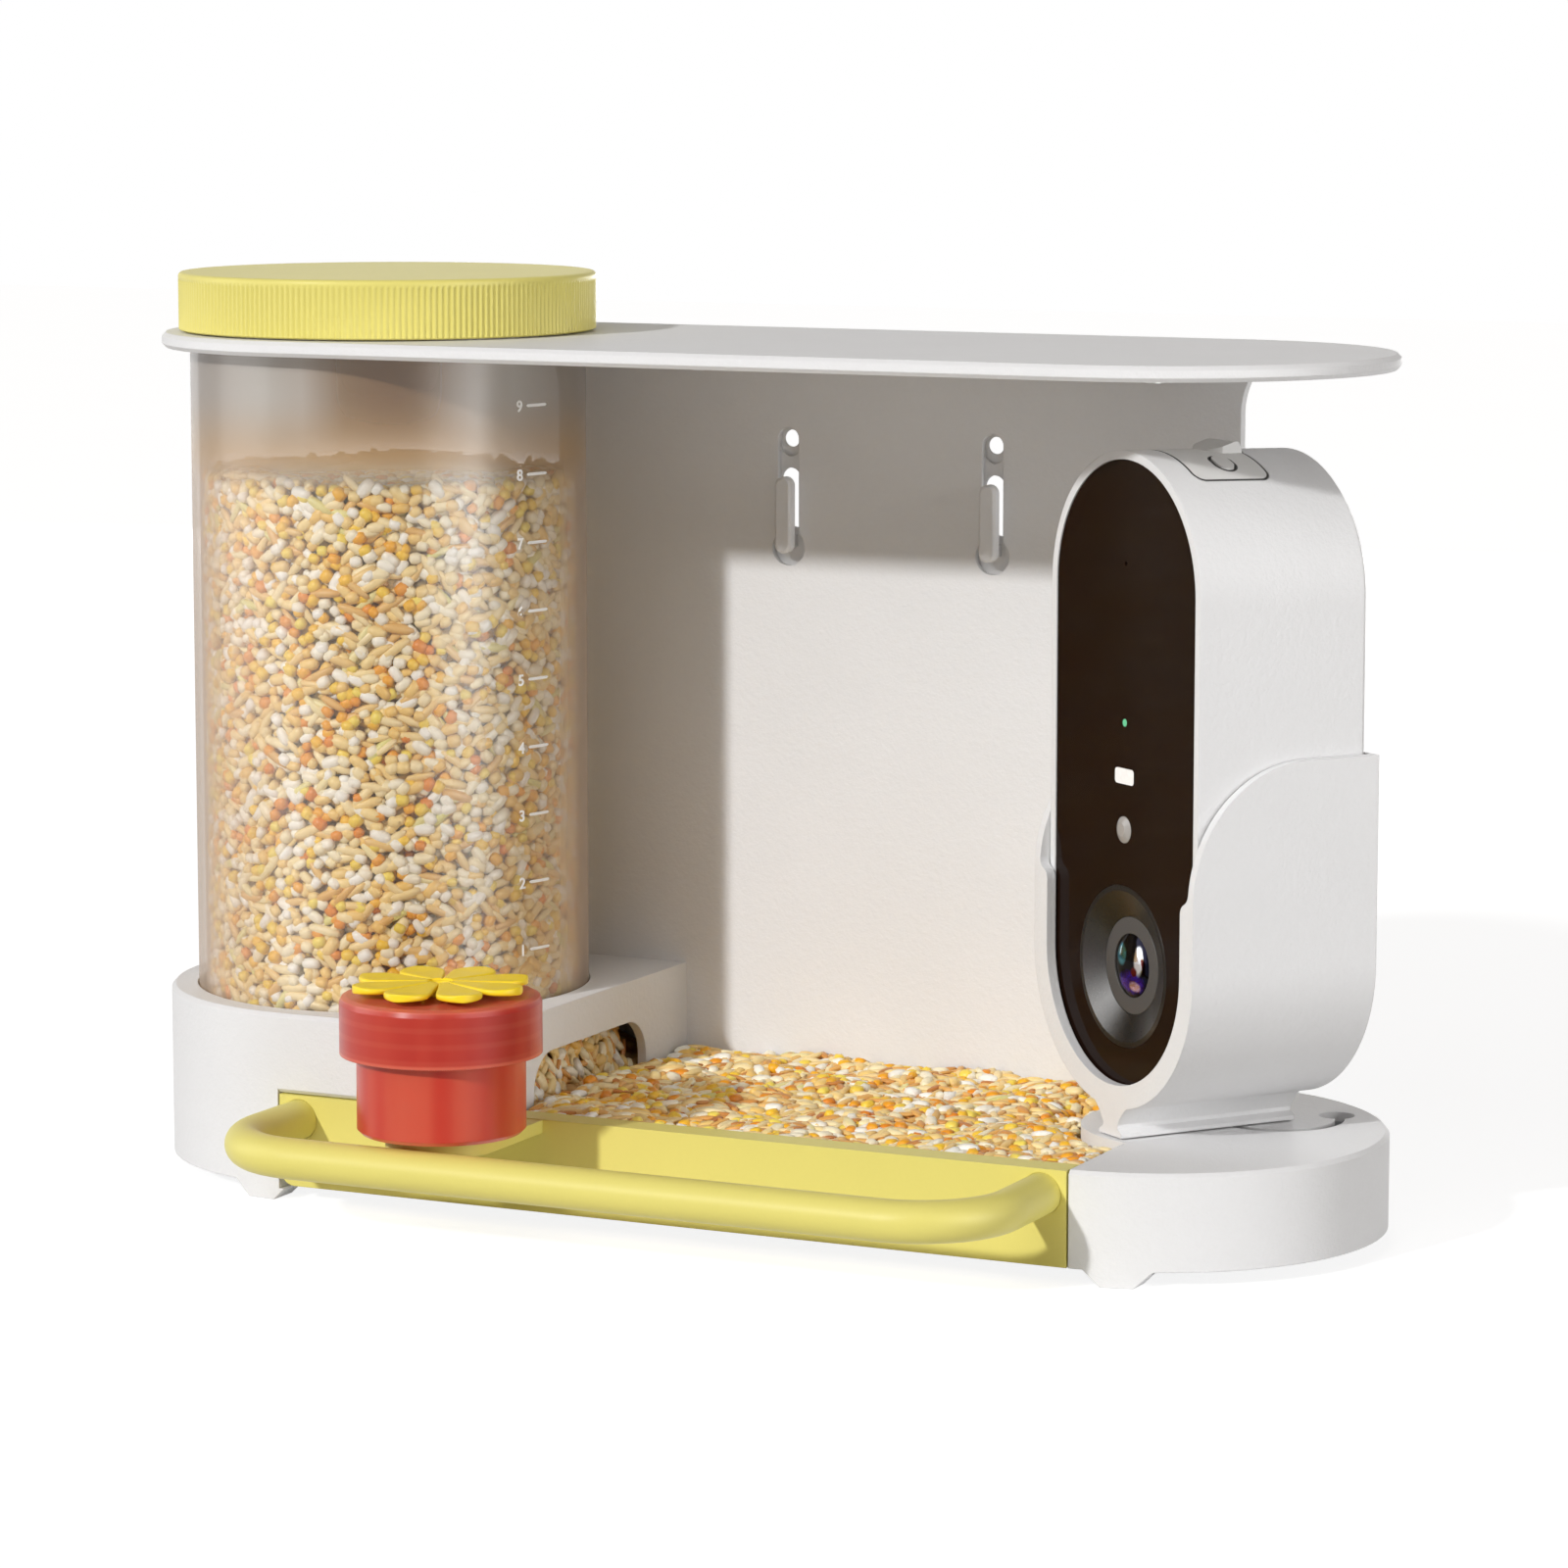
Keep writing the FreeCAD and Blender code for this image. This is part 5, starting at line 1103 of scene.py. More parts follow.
@dataclass
class GrainPile:
    """Seeds of one shape, each with a place, a turn and a tone."""

    shape: GrainShape
    rings: int = 4
    columns: int = 6

    def template(self) -> tuple[Surface, np.ndarray]:
        """One seed of unit scale: along its length the half width is the cosine of the latitude raised to
        the shape's power, and each ring is an ellipse.

        Returns:
            The surface and, per point, how near it is to the tip that is browner.
        """
        length, width, thick, power = self.shape.value
        tip = length / 2.0 * MM
        latitude = np.linspace(-1.0, 1.0, self.rings + 2)[1:-1] * QUARTER_TURN
        angle = around(self.columns)
        girth = np.cos(latitude)[:, None] ** power
        seed = capped(np.stack([
            np.repeat(np.sin(latitude)[:, None] * length / 2.0, self.columns, axis=1),
            girth * np.cos(angle) * width / 2.0,
            girth * np.sin(angle) * thick / 2.0,
        ], axis=-1) * MM)
        seed.points[-2:, 0] = (-tip, tip)
        return seed, np.clip(seed.points[:, 0] / tip, 0.0, 1.0)

    def spread(self, places: np.ndarray, along: np.ndarray, out: np.ndarray, scale: np.ndarray,
               tone: np.ndarray) -> Surface:
        """Copy the seed to every place: its length lies along one direction and its thickness along the
        other, and the third axis is their cross product.

        Args:
            places: middles of the seeds.
            along: direction of each seed's length.
            out: direction that each seed's flat side faces.
            scale: size of each seed.
            tone: tone of each seed between 0 and 1.

        Returns:
            All the seeds in one surface.
        """
        seed, ends = self.template()
        along = along / np.linalg.norm(along, axis=1, keepdims=True)
        across = np.cross(out, along)
        across /= np.linalg.norm(across, axis=1, keepdims=True)
        upright = np.cross(along, across)
        axes = np.stack([along, across, upright], axis=1) * scale[:, None, None]
        points = places[:, None, :] + np.einsum("pk,nkd->npd", seed.points, axes)
        count, size = len(places), len(seed.points)
        step = (np.arange(count) * size)[:, None, None]
        return Surface(
            points.reshape(-1, 3),
            (seed.quads[None] + step).reshape(-1, 4),
            (seed.tris[None] + step).reshape(-1, 3),
            {GRAIN_TONE: np.repeat(tone, size), GRAIN_END: np.tile(ends, count)},
        )


@dataclass
class SeedStock:
    """What the three fills of seed share: the random numbers that they draw in turn, the coats of the grains
    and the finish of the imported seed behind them."""

    seed: int = 11
    pitch: float = 2.75 * MM
    row_share: float = 0.866
    jitter: float = 0.42
    lean: float = 0.22
    scales: tuple[float, float] = (0.82, 1.14)
    bed_finish: SeedBed = SeedBed("packed_seed", (
        (0.0, (0.52, 0.25, 0.06)), (0.5, (0.70, 0.42, 0.14)), (1.0, (0.80, 0.58, 0.27))))
    chance: np.random.Generator = field(init=False)
    coats: dict[GrainCoat, bpy.types.Material] = field(init=False)
    bed: bpy.types.Material = field(init=False)

    def __post_init__(self) -> None:
        """Start the random numbers and make the materials."""
        self.chance = np.random.default_rng(self.seed)
        self.coats = {coat: coat.value.material() for coat in GrainCoat}
        self.bed = self.bed_finish.material()

    def scattered(self, width: float, height: float, crowding: float = 1.0) -> np.ndarray:
        """Points of a staggered grid over a rectangle, each moved at random by less than half a pitch.

        Args:
            width: width of the rectangle.
            height: its height.
            crowding: pitch of the grid as a share of the usual one.

        Returns:
            The points as pairs.
        """
        pitch = self.pitch * crowding
        columns = max(1, int(round(width / pitch)))
        rows = max(1, int(round(height / (pitch * self.row_share))))
        column, row = np.meshgrid(np.arange(columns), np.arange(rows))
        x = (column + 0.5 * (row % 2)) * width / columns
        y = (row + 0.5) * height / rows
        spots = np.stack([x.ravel(), y.ravel()], axis=1)
        return spots + self.chance.uniform(-self.jitter, self.jitter, spots.shape) * pitch

    def lying(self, first: np.ndarray, second: np.ndarray, spread: float) -> np.ndarray:
        """Directions in the plane of two vectors, within a spread of the first."""
        angle = self.chance.uniform(-spread, spread, len(first))[:, None]
        return first * np.cos(angle) + second * np.sin(angle)

    def sorted_piles(self, name: str, body: str, layers: Sequence[Layer], spread: float, mix: Mix) -> None:
        """Share places among kinds of seed and make one piece of each kind.

        Args:
            name: start of the pieces' names.
            body: body that carries them.
            layers: middles of the seeds, and at each the level, the steep and the outward direction.
            spread: how far a seed may turn from level, in radians.
            mix: coat, shape and share of each kind.
        """
        places, first, second, out = (np.concatenate(arrays) for arrays in zip(*layers))
        draw = self.chance.uniform(0.0, 1.0, len(places))
        start = 0.0
        for coat, shape, share in mix:
            pick = (draw >= start) & (draw < start + share)
            start += share
            along = self.lying(first[pick], second[pick], spread)
            facing = out[pick] + self.chance.normal(0.0, self.lean, out[pick].shape)
            scale = self.chance.uniform(*self.scales, len(along))
            tone = self.chance.uniform(0.0, 1.0, len(along))
            pile = GrainPile(shape).spread(places[pick], along, facing, scale, tone)
            title = f"{name}_{coat.name.lower()}_{shape.name.lower()}"
            ride(pile.piece(title, self.coats[coat], NO_CREASE), body)


@dataclass
class TubeFill:
    """The seed in the tube: two layers of grains against the wall and a crown over the top, about a packed
    core."""

    stock: SeedStock
    mix: Mix = (
        (GrainCoat.PALE, GrainShape.ROUND, 0.33), (GrainCoat.BRIGHT, GrainShape.ROUND, 0.25),
        (GrainCoat.PALE, GrainShape.OVAL, 0.24), (GrainCoat.GRAIN, GrainShape.LONG, 0.18))
    spread: float = 1.0
    wall_gap: float = 0.25 * MM
    grain_half: float = 1.2 * MM
    layer: float = 2.3 * MM
    sink: float = 1.3 * MM
    margin: float = 1.5 * MM
    crown_inset: float = 3.0 * MM
    crown_drop: float = 1.8 * MM
    crown_swell: float = 1.4 * MM
    crown_waves: tuple[float, float] = (90.0, 75.0)
    core_inset: float = 4.6 * MM
    core_drop: float = 4.0 * MM
    core_columns: int = 96

    def build(self) -> None:
        """Build and dress the grains and the core."""
        layers = [self.wall_layer(0), self.wall_layer(1), self.crown()]
        self.stock.sorted_piles("tube_seed", "seed_tube", layers, self.spread, self.mix)
        self.build_core()

    def wall_layer(self, depth: int) -> Layer:
        """One layer of seed against the tube's wall: a grid rolled up on a cylinder, with some grains sunk.

        Args:
            depth: number of layers between it and the wall.

        Returns:
            Places and level, steep and outward directions.
        """
        low, high = box_of("hopper_seed")
        reach = radius_of("hopper_seed") - self.wall_gap - self.grain_half - depth * self.layer
        spots = self.stock.scattered(FULL_TURN * reach, high[2] - low[2] - 2.0 * self.margin)
        sunk = self.stock.chance.uniform(0.0, 1.0, len(spots)) ** 2.0 * self.sink
        out = radial(spots[:, 0] / reach)
        place = axis_of("hopper_seed") + out * (reach - sunk)[:, None]
        place[:, 2] = low[2] + self.margin + spots[:, 1]
        return place, np.cross(Z_AXIS, out), np.tile(Z_AXIS, (len(spots), 1)), out

    def crown(self) -> Layer:
        """The top layer in the tube: a disc of grains whose height is a product of two waves.

        Returns:
            Places and level, steep and outward directions.
        """
        _, high = box_of("hopper_seed")
        reach = radius_of("hopper_seed") - self.crown_inset
        spots = self.stock.scattered(2.0 * reach, 2.0 * reach) - reach
        spots = spots[np.hypot(spots[:, 0], spots[:, 1]) < reach]
        along, across = (spots * self.crown_waves).T
        heap = self.crown_swell * np.sin(along) * np.cos(across)
        place = np.column_stack([spots, high[2] - self.crown_drop + heap]) + axis_of("hopper_seed")
        return place, *(np.tile(axis, (len(spots), 1)) for axis in (X_AXIS, Y_AXIS, Z_AXIS))

    def build_core(self) -> None:
        """Packed core of the tube: a plain cylinder."""
        low, high = box_of("hopper_seed")
        reach = radius_of("hopper_seed") - self.core_inset
        foot, top = low[2], high[2] - self.core_drop
        profile = np.array([(reach * 0.5, foot), (reach, foot), (reach, top), (reach * 0.5, top)])
        core = revolved(profile, self.core_columns).shifted(axis_of("hopper_seed"))
        ride(core.piece("tube_seed_core", self.stock.bed), "seed_tube", ["hopper_seed"])


@dataclass
class TrayFill:
    """The seed on the tray: three layers of loose grains on a heaped bed. The heap's waves rise in a bank
    beside the deck's round lobe and dip where the cradle sweeps."""

    stock: SeedStock
    mix: Mix = (
        (GrainCoat.HUSK, GrainShape.FLAT, 0.56), (GrainCoat.PALE, GrainShape.OVAL, 0.19),
        (GrainCoat.GRAIN, GrainShape.LONG, 0.12), (GrainCoat.BRIGHT, GrainShape.ROUND, 0.13))
    spread: float = math.pi
    crowding: float = 0.94
    sinks: tuple[float, ...] = (-0.9 * MM, 0.0, 0.9 * MM)
    scatter: tuple[float, float] = (-0.5 * MM, 0.4 * MM)
    inset: float = 1.5 * MM
    slope_step: float = 0.5 * MM
    wave_swell: float = 1.3 * MM
    wave_length: float = 46.0 * MM
    wave_depth: float = 38.0 * MM
    bank: float = 1.2 * MM
    bank_from: float = 55.0 * MM
    bank_length: float = 40.0 * MM
    sweep: float = 58.0 * MM
    sweep_fade: float = 6.0 * MM
    sweep_dip: float = 1.6 * MM
    lobe: tuple[float, float] = (117.0 * MM, 31.9 * MM)
    lobe_radius: float = 31.0 * MM
    lobe_gap: float = 0.6 * MM
    lobe_margin: float = 3.0 * MM
    tray_rim: float = 17.0 * MM
    bed_inset: float = 0.5 * MM
    bed_drop: float = 1.2 * MM
    bed_floor: float = 1.0 * MM
    bed_points: tuple[int, int] = (60, 120)

    def build(self) -> None:
        """Build and dress the grains and the bed."""
        layers = [self.grain_layer(sink) for sink in self.sinks]
        self.stock.sorted_piles("tray_seed", "drawer", layers, self.spread, self.mix)
        self.build_bed()

    def level(self, x: np.ndarray, y: np.ndarray) -> np.ndarray:
        """Height of the heaped seed: two crossing waves below the top of the fill, a bank beside the lobe
        and a dip where the cradle sweeps over it.

        Args:
            x: places along the tray.
            y: places across the tray.

        Returns:
            The height at each place.
        """
        _, high = box_of("tray_seed")
        along = FULL_TURN * x / self.wave_length
        across = FULL_TURN * (y - axis_of("hopper")[1]) / self.wave_depth
        bank = self.bank * np.clip((x - self.bank_from) / self.bank_length, 0.0, 1.0) ** 2.0
        off = np.hypot(x - Mount.pivot[0], y - Mount.pivot[1])
        dip = self.sweep_dip * np.clip((self.sweep - off) / self.sweep_fade, 0.0, 1.0)
        waves = self.wave_swell * (1.0 - np.cos(along + across / 2.0) * np.cos(across))
        return high[2] + bank - dip - waves

    def back(self, x: np.ndarray) -> np.ndarray:
        """How far back the seed reaches: to the plate, or to the round lobe of the deck where that stands.

        Args:
            x: places along the tray.

        Returns:
            The rearmost place across the tray at each.
        """
        _, high = box_of("tray_seed")
        lobe_x, lobe_y = self.lobe
        reach = self.lobe_radius + self.lobe_gap
        bow = np.sqrt(np.clip(reach ** 2 - (x - lobe_x) ** 2, 0.0, None))
        return np.where(x < lobe_x - reach, high[1], lobe_y - bow)

    def kept(self, spots: np.ndarray) -> np.ndarray:
        """Keep the spots that lie over the tray's seed, clear of its edge.

        Args:
            spots: places in plan.

        Returns:
            The places that are kept.
        """
        low, high = box_of("tray_seed")
        inset = self.inset
        x, y = spots.T
        back = np.minimum(self.back(x - inset), self.back(x + inset))
        along = (x > low[0] + inset) & (x < high[0] - inset)
        return spots[along & (y > low[1] + inset) & (y < back - inset)]

    def grain_layer(self, sink: float) -> Layer:
        """One layer of loose grains that follows the slope of the heap.

        Args:
            sink: how far the layer lies below the heap's height.

        Returns:
            Places and level, steep and outward directions.
        """
        low, high = box_of("tray_seed")
        span = high - low
        spots = self.kept(self.stock.scattered(span[0], span[1], self.crowding) + low[:2])
        x, y = spots.T
        level = self.level(x, y)
        slope_x = (self.level(x + self.slope_step, y) - level) / self.slope_step
        slope_y = (self.level(x, y + self.slope_step) - level) / self.slope_step
        one, none = np.ones(len(spots)), np.zeros(len(spots))
        height = level - sink + self.stock.chance.uniform(*self.scatter, len(spots))
        columns = ((spots, height), (one, none, slope_x), (none, one, slope_y), (-slope_x, -slope_y, one))
        return [np.column_stack(parts) for parts in columns]

    def build_bed(self) -> None:
        """The bed under the grains: the tray's outline with the heaped height as its top, closed below."""
        low, high = box_of("tray_seed")
        rows, columns = self.bed_points
        xs = np.linspace(low[0] + self.bed_inset, high[0] - self.bed_inset, columns)
        back = self.back(xs) - self.bed_inset
        front = low[1] + self.bed_inset
        grid_y = front + np.linspace(0.0, 1.0, rows)[:, None] * (back - front)[None, :]
        grid_x = np.repeat(xs[None, :], rows, axis=0)
        top = self.level(grid_x, grid_y) - self.bed_drop
        beside = grid_x > self.lobe[0] - self.lobe_radius - self.lobe_margin
        floor = np.where(beside, self.tray_rim, low[2] + self.bed_floor)
        sheets = np.stack([np.stack([grid_x, grid_y, level], axis=-1) for level in (top, floor)])
        quads = grid_quads(rows, columns, False)
        index = np.arange(rows * columns).reshape(rows, columns)
        rim = np.concatenate([index[0, :-1], index[:-1, -1], index[-1, :0:-1], index[:0:-1, 0]])
        nearby = np.roll(rim, -1)
        skirt = np.stack([rim, rim + index.size, nearby + index.size, nearby], axis=1)
        faces = np.concatenate([quads, quads[:, ::-1] + index.size, skirt])
        bed = Surface(sheets.reshape(-1, 3), faces, NO_TRIS).outward()
        ride(bed.piece("tray_seed_bed", self.stock.bed), "drawer", ["tray_seed"])


@dataclass
class ArchFill:
    """The seed that stands in the tower's arch: a sloped block with grains on its face."""

    stock: SeedStock
    mix: Mix = ((GrainCoat.HUSK, GrainShape.FLAT, 0.7), (GrainCoat.PALE, GrainShape.OVAL, 0.3))
    spread: float = math.pi
    crowding: float = 0.9
    half: float = 30.5 * MM
    gap: float = 2.0 * MM
    height: float = 16.0 * MM
    foot: float = 5.0 * MM
    depth: float = 1.6 * MM
    slope: float = 0.35
    scatter: float = 0.8 * MM

    def build(self) -> None:
        """Build and dress the grains, and dress the block behind them."""
        low, high = box_of("throat_seed")
        half = self.half - self.gap
        spots = self.stock.scattered(2.0 * half, self.height, self.crowding)
        across, rise = spots.T
        scatter = self.stock.chance.uniform(0.0, self.scatter, len(spots))
        x = high[0] - self.depth - rise * self.slope - scatter
        place = np.column_stack([x, axis_of("hopper")[1] - half + across, low[2] + self.foot + rise])
        steep = np.array([-self.slope, 0.0, 1.0]) / math.hypot(1.0, self.slope)
        out = np.cross(Y_AXIS, steep)
        layer = [place, *(np.tile(axis, (len(spots), 1)) for axis in (Y_AXIS, steep, out))]
        self.stock.sorted_piles("throat_seed", "frame", [layer], self.spread, self.mix)
        dress("throat_seed", self.stock.bed)


@dataclass
class SeedTube:
    """The tube's printed scale, its thread and the ribbed cap."""

    ribs: int = 220
    rib_points: int = 6
    rib_depth: float = 0.45 * MM
    rib_power: float = 1.6
    rib_start: float = 0.5 * MM
    rib_end: tuple[float, float] = (0.9 * MM, 0.3 * MM)
    rib_runout: float = 0.6
    cap_wall: float = 2.3 * MM
    cap_top: float = 2.0 * MM
    cap_flat: float = 3.0 * MM
    cap_centre: float = 0.5
    rim: float = 1.0 * MM
    foot: float = 0.6 * MM
    plain_band: float = 1.7 * MM
    thread: Thread = Thread(5.0 * MM, 0.3 * MM, 1.6 * MM)
    thread_margin: float = 2.0 * MM
    numbers: int = 9
    tick_from: float = -17.4
    tick_to: float = -8.9
    tick_width: float = 0.75 * MM
    tick_points: int = 17
    tick_round: float = 0.1
    tick_close: float = 0.98
    tick_outline: tuple[int, float] = (8, 0.6)
    digit_at: float = -20.1
    digit_size: float = 3.9 * MM
    digit_drop: float = 0.2 * MM
    print_thick: float = 0.12 * MM
    print_bold: float = 0.09 * MM
    scale_low: float = 60.6 * MM
    scale_high: float = 197.0 * MM

    def build(self, cap_finish: bpy.types.Material, ink: bpy.types.Material) -> None:
        """Build and dress the pieces of the tube.

        Args:
            cap_finish: finish of the cap.
            ink: finish of the printed scale.
        """
        self.build_cap(cap_finish)
        self.build_scale(ink)
        self.build_thread()

    def build_cap(self, finish: bpy.types.Material) -> None:
        """Cap: a profile of top, round edge, skirt, rim and inner wall, turned about the tube's axis, with
        the skirt's radius rippled by a cosine for the ribs.

        Args:
            finish: its finish.
        """
        low, high = box_of("cap")
        radius = radius_of("cap")
        inner = radius - self.cap_wall
        bottom, top = low[2], high[2]
        ceiling, band = top - self.cap_top, top - self.plain_band
        turn = np.linspace(0.0, QUARTER_TURN, 5)
        edge_r = radius - self.rim + self.rim * np.sin(turn)
        edge_z = top - self.rim + self.rim * np.cos(turn)
        rows = np.array([
            (radius * self.cap_centre, top, 0.0),
            (radius - self.cap_flat, top, 0.0),
            *zip(edge_r, edge_z, np.zeros(len(turn))),
            (radius, band, 0.0),
            (radius, band - self.rib_start, self.rib_depth),
            (radius, bottom + self.rib_end[0], self.rib_depth),
            (radius, bottom + self.rib_end[1], self.rib_depth * self.rib_runout),
            (radius - self.foot, bottom, 0.0),
            (inner, bottom, 0.0),
            (inner, ceiling, 0.0),
            (inner * self.cap_centre, ceiling, 0.0),
        ])

        def ripple(row: np.ndarray, angle: np.ndarray) -> np.ndarray:
            """Dent of the ribs: half a cosine wave, sharpened by a power, times the depth of the row."""
            return -rows[row, 2] * (0.5 - 0.5 * np.cos(angle * self.ribs)) ** self.rib_power

        cap = revolved(rows[:, :2], self.ribs * self.rib_points, ripple)
        item = cap.shifted(axis_of("cap")).piece("cap_ribbed", finish, crease=50.0)
        ride(item, "screw_cap", ["cap"])

    def wrapped(self, flat: Surface, angle: float, level: float) -> Surface:
        """Lay a flat print on the tube: across becomes arc length, up height, and depth goes outwards.

        Args:
            flat: the print about the origin.
            angle: direction of its middle, in degrees.
            level: height of its middle.

        Returns:
            The print on the tube's outside.
        """
        radius = radius_of("hopper")
        across, up, depth = flat.points.T
        turn = math.radians(angle) + across / radius
        reach = radius + self.print_thick / 2.0 + depth
        on_tube = radial(turn) * reach[:, None] + axis_of("hopper")
        on_tube[:, 2] = level + up
        return Surface(on_tube, flat.quads, flat.tris)

    def digit(self, text: str) -> Surface:
        """A printed digit as a thin flat solid about the origin.

        Args:
            text: the digit.

        Returns:
            Its surface.
        """
        curve = bpy.data.curves.new("digit", "FONT")
        curve.body = text
        curve.size = self.digit_size
        curve.extrude = self.print_thick / 2.0
        curve.offset = self.print_bold
        curve.align_x = "CENTER"
        curve.align_y = "CENTER"
        holder = bpy.data.objects.new("digit", curve)
        bpy.context.scene.collection.objects.link(holder)
        depsgraph = bpy.context.evaluated_depsgraph_get()
        mesh = bpy.data.meshes.new_from_object(holder.evaluated_get(depsgraph))
        mesh.calc_loop_triangles()
        points = np.zeros(len(mesh.vertices) * 3, np.float32)
        mesh.vertices.foreach_get("co", points)
        tris = np.zeros(len(mesh.loop_triangles) * 3, np.int32)
        mesh.loop_triangles.foreach_get("vertices", tris)
        bpy.data.objects.remove(holder)
        bpy.data.curves.remove(curve)
        bpy.data.meshes.remove(mesh)
        return Surface(points.reshape(-1, 3).astype(float), NO_QUADS, tris.reshape(-1, 3))

    def tick(self) -> Surface:
        """One scale line: a bar about the origin whose half width closes in a quarter ellipse at both ends.

        Returns:
            The closed bar.
        """
        count = self.tick_points
        length = math.radians(self.tick_to - self.tick_from) * radius_of("hopper")
        share = np.linspace(-1.0, 1.0, count)
        path = share[:, None] * length / 2.0 * X_AXIS
        past = (np.abs(share) - (1.0 - self.tick_round)) / self.tick_round
        taper = np.sqrt(1.0 - np.clip(past, 0.0, self.tick_close) ** 2.0)
        up, out = (np.tile(axis, (count, 1)) for axis in (Y_AXIS, Z_AXIS))
        depth = np.full(count, self.print_thick / 2.0)
        outline = rounded_square(*self.tick_outline)
        return swept(path, up, out, outline, taper * self.tick_width / 2.0, depth)

    def build_scale(self, ink: bpy.types.Material) -> None:
        """Scale: lines with their digits, laid on the tube's outside.

        Args:
            ink: finish of the print.
        """
        middle = (self.tick_from + self.tick_to) / 2.0
        marks = []
        for number, level in enumerate(np.linspace(self.scale_low, self.scale_high, self.numbers), 1):
            marks.append(self.wrapped(self.tick(), middle, level))
            marks.append(self.wrapped(self.digit(str(number)), self.digit_at, level - self.digit_drop))
        ride(joined(marks).piece("tube_scale", ink, crease=30.0), "seed_tube")

    def build_thread(self) -> None:
        """Thread ridge round the tube's neck, under the cap, in the tube's own finish."""
        low = box_of("cap")[0][2] + self.thread_margin
        high = box_of("hopper")[1][2] - self.thread_margin
        ridge = self.thread.ridge(axis_of("hopper"), radius_of("hopper"), low, high)
        clear = frame["nodes"]["hopper"].data.materials[0]
        ride(ridge.piece("tube_thread", clear, crease=60.0), "seed_tube")


@dataclass
class NectarCup:
    """The cup's thread and the flower on its lid."""

    thread: Thread = Thread(3.96 * MM, 0.32 * MM, 1.5 * MM)
    thread_foot: float = 2.5 * MM
    thread_top: float = 0.8 * MM
    petals: int = 8
    petal_thick: float = 1.9 * MM
    petal_root: float = 1.4 * MM
    petal_half: float = 5.6 * MM
    petal_gap: float = 1.2 * MM
    petal_rows: tuple[int, int] = (10, 9)
    petal_columns: int = 28
    petal_power: float = 0.45
    petal_tip: float = 0.97
    petal_taper: tuple[float, float] = (0.75, 0.25)
    dish: float = 0.5 * MM
    hub: float = 5.2 * MM
    hub_drop: float = 0.25 * MM
    hub_columns: int = 48
    port: float = 2.0 * MM

    def build(self, flower: bpy.types.Material, red: bpy.types.Material) -> None:
        """Build and dress the pieces of the cup."""
        self.build_thread(red)
        self.build_flower(flower)

    def build_thread(self, red: bpy.types.Material) -> None:
        """Thread ridge round the cup's collar, inside the lid.

        Args:
            red: finish of the cup.
        """
        low = box_of("cup_lid")[0][2] + self.thread_foot
        high = box_of("cup")[1][2] - self.thread_top
        ridge = self.thread.ridge(axis_of("cup"), radius_of("cup"), low, high)
        ride(ridge.piece("cup_thread", red, crease=60.0), "nectar_cup")

    def petal(self, angle: float, tip: float, level: float) -> Surface:
        """One petal: a rounded outline carried from the hub to the tip, its half width growing as a smooth
        step and closing in a half circle, with the top dished in the middle.

        Args:
            angle: direction of the petal.
            tip: distance of its tip from the axis.
            level: height of its middle.

        Returns:
            The petal as a closed surface about the flower's axis.
        """
        root = self.port + self.petal_gap
        bulge = tip - self.petal_half
        straight = np.linspace(root, bulge, self.petal_rows[0])
        turn = np.linspace(0.0, QUARTER_TURN * self.petal_tip, self.petal_rows[1])[1:]
        reach = np.concatenate([straight, bulge + self.petal_half * np.sin(turn)])
        grow = (straight - root) / (bulge - root)
        even, eased = self.petal_taper
        grow = grow * even + eased * grow * grow * (3.0 - 2.0 * grow)
        widening = self.petal_root + (self.petal_half - self.petal_root) * grow
        half = np.concatenate([widening, self.petal_half * np.cos(turn)])
        side, rise = rounded_square(self.petal_columns, self.petal_power).T
        across = side[None, :] * half[:, None]
        lift = np.repeat(rise[None, :], len(reach), axis=0) * self.petal_thick / 2.0
        near_tip = np.clip((tip - reach) / self.petal_half, 0.0, 1.0)
        near_root = np.clip((reach - root) / (bulge - root), 0.0, 1.0)
        bowl = self.dish * (1.0 - side[None, :] ** 2) * (near_tip * near_root)[:, None]
        lift = lift - np.where(lift > 0.0, bowl, 0.0)
        along = np.repeat(reach[:, None], len(side), axis=1)
        c, s = math.cos(angle), math.sin(angle)
        return capped(np.stack([along * c - across * s, along * s + across * c, level + lift], axis=-1))

    def build_flower(self, finish: bpy.types.Material) -> None:
        """Flower: petals about a hub ring that stands on the lid.

        Args:
            finish: its finish.
        """
        low, high = box_of("flower")
        level = high[2] - self.petal_thick / 2.0
        petals = [self.petal(angle, radius_of("flower"), level) for angle in around(self.petals)]
        top = high[2] - self.hub_drop
        hub = ring_turned(np.array([
            (self.port, top - 0.5 * MM),
            (self.port + 0.3 * MM, top - 0.2 * MM),
            (self.hub * 0.8, top - 0.5 * MM),
            (self.hub, top - 1.2 * MM),
            (self.hub, low[2]),
            (self.port, low[2]),
        ]), self.hub_columns)
        flower = joined([*petals, hub]).shifted(axis_of("flower"))
        item = flower.piece("flower_petals", finish, crease=50.0)
        ride(item, "screw_lid", ["flower"])


